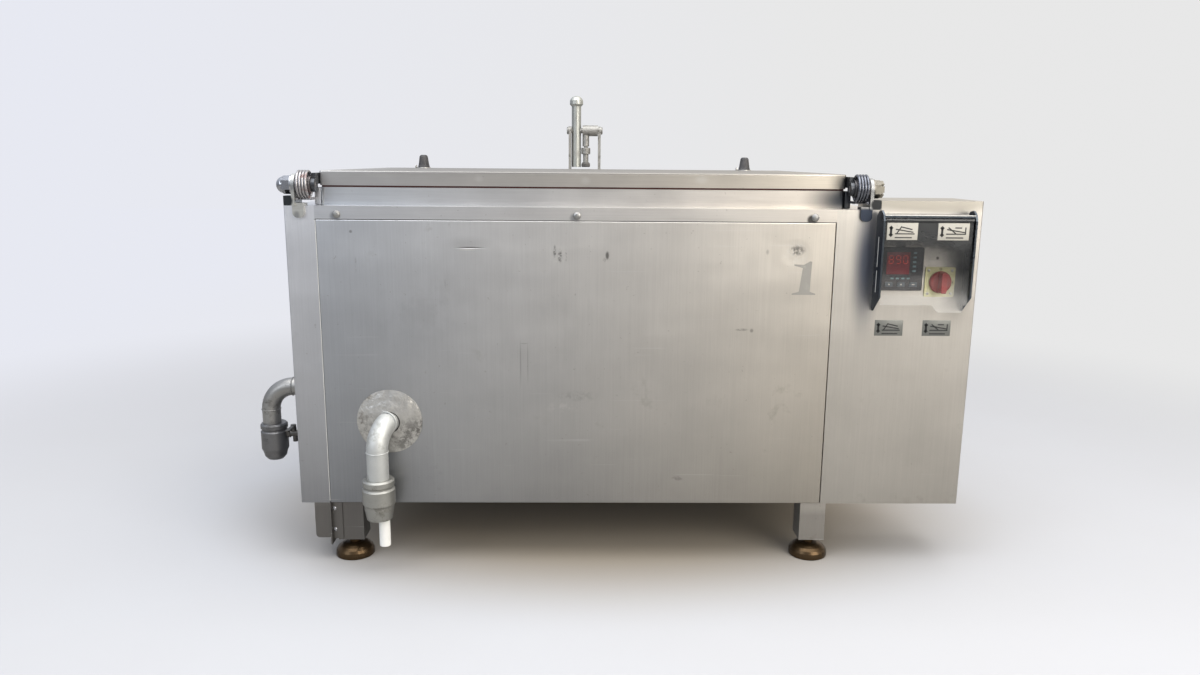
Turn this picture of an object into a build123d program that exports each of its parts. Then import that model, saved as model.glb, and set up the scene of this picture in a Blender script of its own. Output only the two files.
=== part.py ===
"""Rectangular steam jacketed kettle with a hinged lid and a side control cabinet.

Every piece is modelled from the housing's front left corner at floor level: X runs along the
housing, Y runs back from its front face and Z runs up. save() moves the piece so that the
origin lies on the floor under the middle of the footprint. Lengths are in millimetres.
"""
import os
from math import cos, radians, sin

from build123d import *

# Housing
housing_length = 1304.0
housing_depth = 830.0
housing_top = 827.0
underside = 145.0
sheet = 2.0
sheet_bend = 4.0
left_stile = 66.0
right_post = 96.0
strip_height = 28.0
panel_gap = 1.5
panel_lip = 15.0
hole_clearance = 1.0
screw_inset = 48.0
screw_rise = 10.0
screw_radius = 8.5
screw_crown = 5.4

# Control cabinet
cabinet_length = 226.0
cabinet_depth = 170.0
cabinet_nut_gap = 2.0

# Legs, rails and feet
leg_size = 60.0
leg_wall = 3.0
leg_inset = 108.0
leg_setback = 15.0
leg_foot_plate = 5.0
foot_height = 47.0
foot_radius = 45.0
foot_edge = 1.5
foot_neck = 5.0
stem_radius = 8.0
stem_socket = 14.0
rail_size = 40.0
rail_wall = 2.0
post_inset = 352.0
post_setback = 180.0

# Vessel
vessel_end_room = 112.0
vessel_front_room = 82.0
vessel_back_room = 112.0
vessel_wall = 2.5
floor_room = 177.0
floor_rise = 22.0
vessel_corner = 45.0
floor_round = 10.0
rim_rise = 39.0
rim_corner = 8.0
rim_setback = 1.0

# Steam jacket and insulation
jacket_gap = 28.0
jacket_wall = 3.0
jacket_top_room = 207.0
stay_radius = 6.0
stay_columns = 7
stay_rise = 60.0
insulation_thickness = 34.0
insulation_clearance = 1.0

# Lid
lid_overhang = 43.0
lid_height = 32.0
lid_sheet = 2.0
lid_corner = 6.0
lid_fold = 3.0
liner_border = 60.0
liner_corner = 28.0
liner_rise = 14.0
gasket_thickness = 4.0
gasket_width = 20.0
gasket_inset = 3.0
gasket_clearance = 0.3
grip_inset = 106.5
grip_height = 38.0
grip_base_radius = 17.0
grip_top_radius = 12.0
grip_edge_distance = 24.0

# Hinges
hinge_depth = 14.0
hinge_rise = 1.0
journal_radius = 8.0
running_clearance = 0.05
bracket_inset = 21.0
bracket_thickness = 7.0
bracket_head_radius = 24.0
bracket_foot_width = 18.0
bracket_foot_drop = 26.0
bracket_foot_thickness = 6.0
bracket_shelf = 22.0
bearing_block_depth = 30.0
arm_thickness = 8.0
arm_reach = 150.0
arm_head_radius = 15.0
arm_margin = 3.0
arm_lid_drop = 5.0
arm_end_slope = 14.0
drum_radius = 19.0
spring_wire = 6.0
spring_radius = 29.5
spring_turns = 4.0
spring_pitch = 6.3
spring_front_leg = 18.0
nut_radius = 20.0
nut_width = 20.0
nut_dome = 16.0
nut_washer = 4.0
washer_border = 2.0
thread_length = 20.0
castle_slot_width = 5.0
castle_slot_depth = 7.0

# Lid clamp
clamp_setback = 47.0
clamp_rise = 113.0
clamp_half_width = 48.0
standard_thickness = 8.0
standard_half_width = 13.0
standard_base_width = 56.0
clamp_base_thickness = 6.0
clamp_base_border = 12.0
standard_toe = 14.0
standard_flare = 62.0
shaft_head_radius = 11.0
shaft_head = 5.0
shaft_play = 0.5
bush_radius = 16.0
sleeve_radius = 10.0
sleeve_length = 46.0
handle_radius = 14.0
handle_wall = 2.5
handle_offset = 25.0
spindle_offset = 3.5
handle_up = 71.0
handle_down = 107.0
cap_radius = 20.0
cap_height = 30.0
cap_skirt = 12.0
spindle_radius = 6.0
spindle_tip = 8.0
collar_gap = 4.0
collar_radius = 13.5
collar_height = 19.0
press_foot_radius = 13.0
press_foot_height = 14.0

# Drain
drain_end_distance = 100.0
drain_rise = 20.0
drain_pipe_radius = 24.15
drain_pipe_wall = 2.6
drain_flange_radius = 74.0
drain_flange_crown = 9.0
drain_flange_edge = 2.0
drain_bend_radius = 56.0
drain_turn = 20.0
drain_leg_length = 70.0
coupling_radius = 36.5
coupling_height = 94.0
coupling_neck = 20.0
coupling_overlap = 8.0
coupling_mouth = 12.0
spout_radius = 12.5
spout_wall = 2.0
spout_reach = 66.0
spout_seat = 4.0
spout_plug = 8.0
spout_offset = 10.0

# Condensate outlet
outlet_setback = 38.0
outlet_rise = 70.0
outlet_pipe_radius = 21.2
outlet_pipe_wall = 2.6
outlet_bend_radius = 56.0
outlet_reach = 98.0
outlet_leg_length = 34.0
trap_radius = 31.5
trap_height = 92.0
trap_offset = 4.0
trap_inlet = 6.0
cock_drop = 27.0
cock_seat_depth = 5.0
cock_body_radius = 8.0
cock_body_length = 26.0
cock_hexagon = 7.0
cock_nose_length = 20.0
cock_gland_height = 13.0
cock_bore_radius = 3.2
cock_gap = 0.2
cock_hub_radius = 6.5
cock_hub_height = 8.0
cock_lever_length = 42.0
cock_lever_width = 8.0
cock_lever_thickness = 3.0
cock_tip_radius = 5.5

# Steam supply
supply_offset = 120.0
supply_rise = 108.0
supply_pipe_radius = 16.85
supply_pipe_wall = 3.2
supply_stub = 30.0
supply_valve_length = 90.0
supply_end_length = 40.0
valve_hexagon_border = 8.0
valve_hexagon_width = 20.0
valve_bonnet_radius = 17.0
valve_bonnet_height = 42.0
coil_radius = 22.0
coil_height = 62.0
socket_width = 28.0
socket_reach = 24.0
socket_low = 12.0
socket_height = 32.0
coil_nut_radius = 9.0
coil_nut_height = 7.0
relief_setback = 38.0
relief_drop = 80.0
relief_pipe_radius = 13.5
relief_pipe_wall = 2.9
relief_reach = 62.0
relief_bend_radius = 34.0
relief_valve_height = 118.0
relief_seat = 8.0

# Controls
hood_inset = 8.0
hood_width = 204.0
hood_reach = 46.0
hood_height = 224.0
hood_drop = 19.0
hood_sheet = 4.0
hood_roof_drop = 12.0
hood_roof_slope = 6.0
hood_nose = 36.0
hood_crown = 22.0
flap_setback = 8.0
flap_hinge_drop = 21.0
flap_thickness = 4.0
flap_height = 185.0
flap_tab_width = 68.0
flap_tab_drop = 16.0
flap_tab_inset = 8.0
flap_barrel_radius = 5.0
flap_pin_radius = 3.0
flap_side_gap = 2.0
controller_inset = 60.0
controller_rise = 94.0
controller_size = 96.0
controller_bezel = 9.0
controller_body = 90.0
controller_body_depth = 84.0
display_shift = 9.0
display_lift = 13.0
display_width = 52.0
display_height = 54.0
display_recess = 0.6
key_width = 17.0
key_height = 10.0
key_pitch = 27.0
key_edge = 14.0
key_proud = 1.4
key_depth = 4.0
key_gap = 0.4
key_play = 1.2
switch_spacing = 89.0
switch_drop = 29.0
switch_plate_size = 67.0
switch_plate_thickness = 3.0
knob_radius = 24.5
knob_height = 27.0
knob_gap = 0.5
knob_disc = 9.5
knob_bar_width = 13.0
switch_shaft_radius = 4.0
switch_shaft_share = 0.5
switch_neck_radius = 11.0
switch_body_size = 56.0
switch_body_depth = 48.0

# Switchgear
plate_border = 20.0
plate_low = 155.0
plate_high = 69.0
plate_gap = 12.0
spacer_inset = 12.0
spacer_rise = 20.0
spacer_radius = 5.0
gear_inset = 40.0
gear_rise = 355.0
contactor_width = 45.0
contactor_height = 80.0
contactor_depth = 85.0
contactor_nose = 10.0
contactor_step = 5.0
relay_place = 70.0
relay_width = 28.0
relay_height = 70.0
relay_depth = 70.0
terminal_rise = 255.0
terminal_pitch = 9.0
terminal_width = 8.0
terminal_height = 45.0
terminal_depth = 45.0
terminal_count = 15

# Temperature probe
probe_setback = 48.0
probe_rise = 148.0
probe_radius = 5.0
probe_reach = 60.0
probe_head_gap = 8.0
probe_head_radius = 14.0
probe_head_length = 34.0

# Strainer
strainer_border = 22.0
strainer_rise = 20.0
strainer_hole_radius = 4.0
strainer_hole_rise = 18.0
strainer_hole_pitch = 16.0
strainer_rows = 4

# Left leg cover
cover_offset = 49.0
cover_width = 35.0
cover_front = 4.0
cover_depth = 70.0
cover_bottom = 57.0
cover_corner = 9.0
cover_flange_bottom = 41.0
cover_flange_thickness = 3.0
cover_flange_lap = 12.0
cover_flange_rise = 4.0

# Positions that follow from the sizes above
kettle_middle = housing_length / 2
overall_right = housing_length + cabinet_length
strip_bottom = housing_top - strip_height
vessel_length = housing_length - 2 * vessel_end_room
vessel_width = housing_depth - vessel_front_room - vessel_back_room
vessel_centre_depth = vessel_front_room + vessel_width / 2
vessel_front = vessel_front_room
vessel_floor = underside + floor_room
jacket_height = housing_top - jacket_top_room
jacket_end = kettle_middle + vessel_length / 2 + vessel_wall + jacket_gap + jacket_wall
jacket_start = 2 * kettle_middle - jacket_end
rim_height = housing_top + rim_rise
lid_length = vessel_length + 2 * lid_overhang
lid_width = vessel_width + 2 * lid_overhang - 2 * rim_setback
rim_length = lid_length - 2 * rim_setback
rim_width = lid_width - 2 * rim_setback
lid_front = vessel_centre_depth - lid_width / 2
lid_left = kettle_middle - lid_length / 2
lid_seat = rim_height + gasket_thickness
lid_top = lid_seat + lid_height
grip_spread = lid_length - 2 * grip_inset
hinge_height = lid_seat + hinge_rise
washer_radius = nut_radius + washer_border
cabinet_top_height = hinge_height - washer_radius - cabinet_nut_gap
clamp_depth = housing_depth - clamp_setback
clamp_height = lid_top + clamp_rise
drain_place = vessel_end_room + drain_end_distance
drain_height = vessel_floor + drain_rise
floor_at_drain = vessel_floor + floor_rise * drain_end_distance / vessel_length
outlet_depth = vessel_front_room + outlet_setback
outlet_height = vessel_floor + outlet_rise
trap_axis = -outlet_reach + trap_offset
outlet_left = min(-outlet_reach - outlet_pipe_radius, trap_axis - trap_radius)
supply_depth = vessel_centre_depth + supply_offset
supply_height = vessel_floor + supply_rise
relief_depth = housing_depth - vessel_back_room - relief_setback
relief_height = jacket_height - relief_drop
probe_depth = vessel_front_room + probe_setback
probe_height = vessel_floor + probe_rise
hood_left = housing_length - hood_inset
hood_right = hood_left + hood_width
hood_top = cabinet_top_height - hood_drop
hood_bottom = hood_top - hood_height
flap_depth = hood_reach - flap_setback
flap_hinge_height = hood_top - flap_hinge_drop
flap_bottom = flap_hinge_height - flap_height
controller_place = hood_left + controller_inset
controller_height = hood_bottom + controller_rise
display_x = controller_place - display_shift
display_z = controller_height + display_lift
key_row = controller_height - controller_size / 2 + key_edge
key_places = [(controller_place + key_pitch * n, key_row) for n in (-1, 0, 1)]
switch_place = controller_place + switch_spacing
switch_height = controller_height - switch_drop
rail_bottom = underside + sheet
rail_top = rail_bottom + rail_size
leg_spread = housing_length - 2 * leg_inset
post_spread = housing_length - 2 * post_inset
leg_places = [
    (kettle_middle + side * leg_spread / 2, depth)
    for side in (-1, 1)
    for depth in (leg_setback + leg_size / 2, housing_depth - leg_setback - leg_size / 2)
]
post_places = [
    (kettle_middle + side * post_spread / 2, depth)
    for side in (-1, 1)
    for depth in (post_setback, housing_depth - post_setback)
]
cover_left = leg_inset - leg_size / 2 - cover_offset
turn = radians(drain_turn)
drain_front = drain_bend_radius * cos(turn) + coupling_radius
footprint_front = -max(drain_front, hood_reach)
origin_shift = Pos(
    -(outlet_left + overall_right) / 2,
    -(footprint_front + housing_depth) / 2,
    0,
)

os.makedirs("parts", exist_ok=True)


def save(shape, node):
    """Write one node, moved so that the origin is under the middle of the footprint."""
    solids = [origin_shift * solid for solid in shape.solids()]
    export_step(Compound(solids), f"parts/{node}.step")


def group(shapes):
    """Several bodies kept side by side as separate solids of one node."""
    return Compound([solid for shape in shapes for solid in shape.solids()])


def block(x_low, x_high, y_low, y_high, z_low, z_high):
    """A rectangular block between two corners."""
    centre = Pos((x_low + x_high) / 2, (y_low + y_high) / 2, (z_low + z_high) / 2)
    return centre * Box(x_high - x_low, y_high - y_low, z_high - z_low)


def rod(start, direction, radius, length):
    """A round bar from a start point along a direction."""
    return extrude(Plane(origin=start, z_dir=direction) * Circle(radius), length)


def pipe(start, direction, radius, wall, length):
    """A straight round pipe from a start point along a direction."""
    ring = Circle(radius) - Circle(radius - wall)
    return extrude(Plane(origin=start, z_dir=direction) * ring, length)


def turned(outline, origin, axis):
    """A body of revolution: outline is a list of (radius, height) points along axis."""
    plane = Plane(origin=origin, x_dir=Vector(axis).cross(Vector(0.3, 0.5, 0.8)), z_dir=axis)
    section = Plane(origin=plane.origin, x_dir=plane.x_dir, z_dir=-plane.y_dir)
    face = section * make_face(Polyline(*outline, close=True))
    return revolve(face, Axis(plane.origin, plane.z_dir), 360)


def square_tube(start, direction, size, wall, length):
    """A square hollow section from a start point on its centre line."""
    side_way = (0, 0, 1) if abs(Vector(direction).Z) < 0.5 else (1, 0, 0)
    plane = Plane(origin=start, x_dir=side_way, z_dir=direction)
    ring = Rectangle(size, size) - Rectangle(size - 2 * wall, size - 2 * wall)
    return extrude(plane * ring, length)


def angle_sheet(x_corner, x_end, y_end, z_low, z_high):
    """A sheet folded round a vertical front corner: the front leg to x_end, the side to y_end."""
    inward = 1 if x_end > x_corner else -1
    x_inner = x_corner + inward * sheet
    points = [
        (x_corner, 0),
        (x_end, 0),
        (x_end, sheet),
        (x_inner, sheet),
        (x_inner, y_end),
        (x_corner, y_end),
    ]
    outline = make_face(Polyline(*points, close=True))
    inner = outline.vertices().sort_by_distance((x_inner, sheet, 0))[0]
    outline = fillet(inner, sheet_bend - sheet)
    outer = outline.vertices().sort_by_distance((x_corner, 0, 0))[0]
    outline = fillet(outer, sheet_bend)
    return extrude(Pos(0, 0, z_low) * outline, z_high - z_low)


def trough(grow, top):
    """The vessel's block with its sloped floor, grown outwards by grow and cut off at top."""
    half = vessel_length / 2 + grow
    slope = floor_rise / vessel_length
    low = vessel_floor - grow - slope * grow
    high = vessel_floor + floor_rise - grow + slope * grow
    profile = [(-half, top), (-half, low), (half, high), (half, top)]
    width = vessel_width + 2 * grow
    back_point = (kettle_middle, vessel_centre_depth + width / 2, 0)
    back = Plane(origin=back_point, x_dir=(1, 0, 0), z_dir=(0, -1, 0))
    body = extrude(back * make_face(Polyline(*profile, close=True)), width)
    body = fillet(body.edges().filter_by(Axis.Z), vessel_corner + grow)
    floor = body.faces().sort_by(Axis.Z)[0]
    return fillet(floor.edges(), floor_round + min(grow, vessel_wall))


def rounded_slab(length, width, corner, z_low, z_high):
    """A slab with rounded corners, centred on the vessel."""
    plate = Pos(kettle_middle, vessel_centre_depth, z_low) * RectangleRounded(length, width, corner)
    return extrude(plate, z_high - z_low)


def plate_across(points, x_low, thickness):
    """A plate in the YZ plane from (y, z) points, starting at x_low."""
    plane = Plane(origin=(x_low, 0, 0), x_dir=(0, 1, 0), z_dir=(1, 0, 0))
    return extrude(plane * make_face(Polyline(*points, close=True)), thickness)


def disc_across(x_low, depth, height, radius, thickness):
    """A disc with its axis along X."""
    return rod((x_low, depth, height), (1, 0, 0), radius, thickness)


def hexagon_across(x_low, depth, height, radius, thickness):
    """A hexagonal nut body with its axis along X."""
    plane = Plane(origin=(x_low, depth, height), x_dir=(0, 0, 1), z_dir=(1, 0, 0))
    return extrude(plane * RegularPolygon(radius, 6), thickness)


def mirrored(shape):
    """The same shape on the other side of the kettle's middle plane."""
    return mirror(shape, Plane(origin=(kettle_middle, 0, 0), z_dir=(1, 0, 0)))


# ---------------------------------------------------------------- vessel, jacket, insulation

vessel_outside = trough(vessel_wall, rim_height)
jacket_cavity = trough(vessel_wall + jacket_gap, jacket_height - jacket_wall)
jacket_outside = trough(vessel_wall + jacket_gap + jacket_wall, jacket_height)


def drain_line(radius, start, end):
    """A round bar on the drain's axis."""
    return rod((drain_place, start, drain_height), (0, 1, 0), radius, end - start)


def outlet_line(radius, start, end):
    """A round bar on the condensate outlet's axis, along X."""
    return disc_across(start, outlet_depth, outlet_height, radius, end - start)


def build_vessel():
    """The inner vessel with its rim flange, folded down to the deck."""
    rim = rounded_slab(rim_length, rim_width, rim_corner, housing_top, rim_height)
    under_rim = rounded_slab(
        rim_length - 2 * vessel_wall,
        rim_width - 2 * vessel_wall,
        rim_corner - vessel_wall,
        housing_top,
        rim_height - vessel_wall,
    )
    shell = vessel_outside + (rim - under_rim)
    shell = shell - trough(0, rim_height + vessel_wall)
    shell = shell - drain_line(drain_pipe_radius - drain_pipe_wall, 0, vessel_front + floor_round)
    end_wall = kettle_middle + vessel_length / 2
    probe_hole = disc_across(end_wall - vessel_wall, probe_depth, probe_height, probe_radius, 3 * vessel_wall)
    return shell - probe_hole


def jacket_openings():
    """What passes through the jacket's wall: drain, condensate, steam, relief and probe."""
    bar = drain_line(drain_pipe_radius, 0, vessel_front)
    bar = bar + outlet_line(outlet_pipe_radius - outlet_pipe_wall, 0, jacket_start + jacket_wall + 1)
    inside = jacket_end - jacket_wall - 1
    reach = jacket_wall + 2
    supply_bore = supply_pipe_radius - supply_pipe_wall
    relief_bore = relief_pipe_radius - relief_pipe_wall
    bar = bar + disc_across(inside, supply_depth, supply_height, supply_bore, reach)
    bar = bar + disc_across(inside, relief_depth, relief_height, relief_bore, reach)
    return bar + disc_across(inside, probe_depth, probe_height, probe_radius, reach)


def build_jacket():
    """The steam jacket: outer wall, floor and the closing ring at its top."""
    return jacket_outside - (jacket_cavity + vessel_outside) - jacket_openings()


def build_stays():
    """Round stays that tie the jacket's long walls and floor to the vessel."""
    space = jacket_cavity - vessel_outside
    reach = vessel_length - 4 * vessel_corner
    bars = []
    for column in range(stay_columns):
        x = kettle_middle - reach / 2 + reach * column / (stay_columns - 1)
        stay_height = (vessel_floor + jacket_height) / 2 + stay_rise
        bars.append(rod((x, 0, stay_height), (0, 1, 0), stay_radius, housing_depth))
        reach_up = vessel_floor + floor_rise - rail_top
        bars.append(rod((x, vessel_centre_depth, rail_top), (0, 0, 1), stay_radius, reach_up))
    return space & Part() + bars


def build_insulation():
    """The wool blanket round the jacket, with room for what passes through it."""
    around = vessel_wall + jacket_gap + jacket_wall
    wool = trough(around + insulation_clearance + insulation_thickness, jacket_height)
    wool = wool - trough(around + insulation_clearance, jacket_height + 1)
    wool = wool - drain_line(drain_pipe_radius + insulation_clearance, -1, vessel_front)
    wool = wool - outlet_line(outlet_pipe_radius + insulation_clearance, -1, jacket_start + jacket_gap)
    for depth, height, radius in (
        (supply_depth, supply_height, supply_pipe_radius),
        (relief_depth, relief_height, relief_pipe_radius),
        (probe_depth, probe_height, probe_radius),
    ):
        bore_radius = radius + insulation_clearance
        room = disc_across(jacket_end - jacket_wall, depth, height, bore_radius, cabinet_length)
        wool = wool - room
    for x, y in post_places:
        room = post_room(x, y, insulation_clearance)
        wool = wool - room
    return wool


def post_room(x, y, clearance):
    """The space that a post takes between the cross rails and the jacket."""
    half = rail_size / 2 + clearance
    return block(x - half, x + half, y - half, y + half, rail_top, vessel_floor + floor_rise)


save(build_vessel(), "inner_vessel")
save(build_jacket(), "steam_jacket")
save(build_stays(), "jacket_stays")
save(build_insulation(), "insulation")

# ---------------------------------------------------------------- frame, legs and feet


def build_rails():
    """Long rails, cross rails, cabinet arms and the posts that carry the vessel."""
    centre = rail_bottom + rail_size / 2
    half_span = leg_spread / 2 - leg_size / 2
    front_y = leg_setback + leg_size / 2
    back_y = housing_depth - front_y
    rails = []
    for y in (front_y, back_y):
        start = (kettle_middle - half_span, y, centre)
        rails.append(square_tube(start, (1, 0, 0), rail_size, rail_wall, 2 * half_span))
    for side in (-1, 1):
        start = (kettle_middle + side * leg_spread / 2, front_y + leg_size / 2, centre)
        rails.append(square_tube(start, (0, 1, 0), rail_size, rail_wall, back_y - front_y - leg_size))
        start = (kettle_middle + side * post_spread / 2, front_y + rail_size / 2, centre)
        rails.append(square_tube(start, (0, 1, 0), rail_size, rail_wall, back_y - front_y - rail_size))
    arm_end = overall_right - sheet - panel_gap
    right_leg = kettle_middle + leg_spread / 2
    arm_y = cabinet_depth - rail_size / 2 - sheet
    for x, y in ((right_leg + leg_size / 2, front_y), (right_leg + rail_size / 2, arm_y)):
        rails.append(square_tube((x, y, centre), (1, 0, 0), rail_size, rail_wall, arm_end - x))
    for x, y in post_places:
        post = square_tube((x, y, rail_top), (0, 0, 1), rail_size, rail_wall, vessel_floor - rail_top)
        rails.append(post - jacket_outside)
    return group(rails)


def build_legs():
    """Four square tube legs, each closed below by a plate bored for the foot's stem."""
    legs = []
    for x, y in leg_places:
        half = leg_size / 2
        leg = block(x - half, x + half, y - half, y + half, foot_height, rail_top)
        inner = half - leg_wall
        floor = foot_height + leg_foot_plate
        leg = leg - block(x - inner, x + inner, y - inner, y + inner, floor, rail_top + 1)
        legs.append(leg - rod((x, y, 0), (0, 0, 1), stem_radius, rail_top))
    return group(legs)


def build_foot_discs():
    """Domed foot discs: a flat rim, a cone-like dome and a collar round the stem."""
    neck = stem_radius + foot_neck
    low = foot_radius * 0.16
    high = foot_height - stem_socket
    outline = [
        (0, 0),
        (foot_radius - foot_edge, 0),
        (foot_radius, foot_edge),
        (foot_radius, low),
    ]
    for step in range(1, 7):
        angle = radians(15 * step)
        outline.append((neck + (foot_radius - neck) * cos(angle), low + (high - low) * sin(angle)))
    outline += [
        (neck, foot_height - leg_foot_plate),
        (stem_radius, foot_height - leg_foot_plate),
        (stem_radius, stem_socket),
        (0, stem_socket),
    ]
    discs = [turned(outline, (x, y, 0), (0, 0, 1)) for x, y in leg_places]
    return group(discs)


def build_foot_stems():
    """Levelling stems from the discs up into the legs."""
    length = rail_bottom - stem_socket
    stems = [rod((x, y, stem_socket), (0, 0, 1), stem_radius, length) for x, y in leg_places]
    return group(stems)


def build_leg_side_cover():
    """A folded cover beside the left front leg, welded to a flange plate that overlaps the leg."""
    right = cover_left + cover_width
    front = leg_setback - cover_flange_thickness
    back = cover_front + cover_depth
    box = block(cover_left, right, cover_front, back, cover_bottom, underside)
    corner = box.edges().filter_by(Axis.Y).sort_by(Axis.X)[:2].sort_by(Axis.Z)[0]
    box = fillet(corner, cover_corner)
    inside = cover_left + sheet
    hollow = block(inside, right + 1, cover_front + sheet, back + 1, cover_bottom + sheet, underside + 1)
    plate = block(right, right + cover_flange_thickness, 0, back, cover_flange_bottom, underside)
    lap = leg_inset - leg_size / 2 + cover_flange_lap
    flange = block(right, lap, front, leg_setback, foot_height + cover_flange_rise, underside)
    return (box - hollow) + plate + flange


save(build_rails(), "frame_rails")
save(build_legs(), "legs")
save(build_foot_discs(), "foot_discs")
save(build_foot_stems(), "foot_stems")
save(build_leg_side_cover(), "leg_side_cover")

# ---------------------------------------------------------------- housing sheets


def relieved(plate, x, y):
    """The plate with its vertical edge nearest (x, y) rounded to fit inside a sheet bend."""
    edge = plate.edges().filter_by(Axis.Z).sort_by_distance((x, y, plate.center().Z))[0]
    return fillet(edge, sheet_bend - sheet)


def build_bottom_tray():
    """The floor sheet, notched round the legs and behind the front panel's lip."""
    tray = block(sheet, housing_length - sheet, sheet, housing_depth - sheet, underside, rail_bottom)
    tray = relieved(tray, sheet, sheet)
    tray = tray - front_pan_block(panel_lip)
    for x, y in leg_places:
        half = leg_size / 2 + hole_clearance
        tray = tray - block(x - half, x + half, y - half, y + half, underside - 1, rail_bottom + 1)
    return tray


def build_left_panel():
    """The left side sheet, folded round the front corner into the left stile."""
    panel = angle_sheet(0, left_stile, housing_depth, underside, housing_top)
    return panel - outlet_line(outlet_pipe_radius + hole_clearance, -1, sheet + 1)


def front_pan_block(depth):
    """The block that the removable front panel fills, to the given depth."""
    left = left_stile + panel_gap
    right = housing_length - right_post - panel_gap
    return block(left, right, 0, depth, underside, strip_bottom - panel_gap)


def build_front_panel():
    """The removable front panel: a pan with lips folded back, and the drain's hole."""
    left = left_stile + panel_gap + sheet
    right = housing_length - right_post - panel_gap - sheet
    pan = front_pan_block(panel_lip)
    pan = fillet(pan.faces().sort_by(Axis.Y)[0].edges(), sheet)
    inner = block(left, right, sheet, panel_lip + 1, rail_bottom, strip_bottom - panel_gap - sheet)
    return pan - inner - drain_line(drain_pipe_radius + 2 * hole_clearance, -1, panel_lip)


def build_rear_panel():
    """The rear sheet with side lips."""
    back = housing_depth
    left = sheet + panel_gap
    right = housing_length - sheet - panel_gap
    bottom = rail_bottom
    top = housing_top - sheet
    pan = block(left, right, back - panel_lip, back, bottom, top)
    front = back - panel_lip - 1
    return pan - block(left + sheet, right - sheet, front, back - sheet, bottom - 1, top + 1)


def build_right_panel():
    """The sheet between kettle and cabinet, which closes the housing behind the cabinet."""
    x_low = housing_length - sheet
    panel = block(x_low, housing_length, sheet, housing_depth, rail_bottom, housing_top - sheet)
    front_y = leg_setback + leg_size / 2
    half = rail_size / 2 + hole_clearance
    for y in (front_y, cabinet_depth - rail_size / 2 - sheet):
        room = block(x_low - 1, housing_length + 1, y - half, y + half, rail_bottom - 1, rail_top + 1)
        panel = panel - room
    for depth, height, radius in (
        (supply_depth, supply_height, supply_pipe_radius),
        (relief_depth, relief_height, relief_pipe_radius),
        (probe_depth, probe_height, probe_radius),
    ):
        panel = panel - disc_across(x_low - 1, depth, height, radius + hole_clearance, sheet + 2)
    return panel


def build_top_deck():
    """The deck round the vessel's rim with the strip folded down at the front."""
    deck = block(sheet, housing_length, sheet, housing_depth, housing_top - sheet, housing_top)
    strip_left = left_stile
    strip_right = housing_length - right_post
    strip = block(strip_left, strip_right, 0, sheet, strip_bottom, housing_top)
    lip = block(strip_left, strip_right, sheet, panel_lip + sheet, strip_bottom, strip_bottom + sheet)
    room = rounded_slab(rim_length, rim_width, rim_corner, housing_top - 2 * sheet, housing_top + 1)
    return relieved(deck, sheet, sheet) - room + strip + lip


def build_panel_screws():
    """Three domed screws along the strip above the front panel."""
    span = housing_length - left_stile - right_post - 2 * screw_inset
    middle = strip_bottom + screw_rise
    screws = []
    for share in (-0.5, 0, 0.5):
        x = (left_stile + housing_length - right_post) / 2 + share * span
        outline = [
            (0, 0),
            (screw_radius, 0),
            (screw_radius, screw_crown * 0.22),
            (screw_radius * 0.85, screw_crown * 0.6),
            (screw_radius * 0.5, screw_crown * 0.9),
            (0, screw_crown),
        ]
        screws.append(turned(outline, (x, 0, middle), (0, -1, 0)))
    return group(screws)


save(build_bottom_tray(), "bottom_tray")
save(build_left_panel(), "left_panel")
save(build_front_panel(), "front_panel")
save(build_rear_panel(), "rear_panel")
save(build_right_panel(), "right_panel")
save(build_top_deck(), "top_deck")
save(build_panel_screws(), "panel_screws")

# ---------------------------------------------------------------- lid


def lid_block(inset, z_low, z_high, corner):
    """A slab with the lid's outline, drawn in from its edges."""
    plate = Pos(kettle_middle, lid_front + lid_width / 2, z_low) * RectangleRounded(
        lid_length - 2 * inset, lid_width - 2 * inset, corner
    )
    return extrude(plate, z_high - z_low)


def build_lid_shell():
    """The lid's outer sheet: flat top with a soft fold and edges turned down."""
    shell = lid_block(0, lid_seat, lid_top, lid_corner)
    shell = fillet(shell.faces().sort_by(Axis.Z)[-1].edges(), lid_fold)
    inner_corner = lid_corner - lid_sheet
    return shell - lid_block(lid_sheet, lid_seat - 1, lid_top - lid_sheet, inner_corner)


def build_lid_liner():
    """The lid's inner sheet: a flat border for the gasket and a raised middle."""
    border = lid_block(lid_sheet, lid_seat, lid_seat + lid_sheet, lid_corner - lid_sheet)
    raised_top = lid_seat + liner_rise + lid_sheet
    raised = lid_block(liner_border, lid_seat, raised_top, liner_corner)
    raised = fillet(raised.faces().sort_by(Axis.Z)[-1].edges(), 3 * lid_sheet)
    inner_border = liner_border + lid_sheet
    room = lid_block(inner_border, lid_seat - 1, lid_seat + liner_rise, liner_corner - lid_sheet)
    room = fillet(room.faces().sort_by(Axis.Z)[-1].edges(), 2 * lid_sheet)
    return border + raised - room


def build_gasket():
    """The silicone seal under the lid's border, just clear of the vessel's rim."""
    low = rim_height + gasket_clearance
    ring = lid_block(gasket_inset, low, lid_seat, lid_corner)
    return ring - lid_block(gasket_inset + gasket_width, low - 1, lid_seat + 1, lid_corner)


def build_lid_arms():
    """Arms welded to the lid's ends, bored for the stub axles."""
    low = lid_seat + arm_margin
    high = lid_top - arm_lid_drop
    outline = [
        (hinge_depth, high),
        (hinge_depth + arm_reach - arm_end_slope, high),
        (hinge_depth + arm_reach, (low + high) / 2),
        (hinge_depth + arm_reach, low),
        (hinge_depth, low),
    ]
    x_low = lid_left - arm_thickness
    arm = plate_across(outline, x_low, arm_thickness)
    arm = arm + disc_across(x_low, hinge_depth, hinge_height, arm_head_radius, arm_thickness)
    bore_radius = journal_radius + running_clearance
    arm = arm - disc_across(x_low - 1, hinge_depth, hinge_height, bore_radius, arm_thickness + 2)
    return group([arm, mirrored(arm)])


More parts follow.
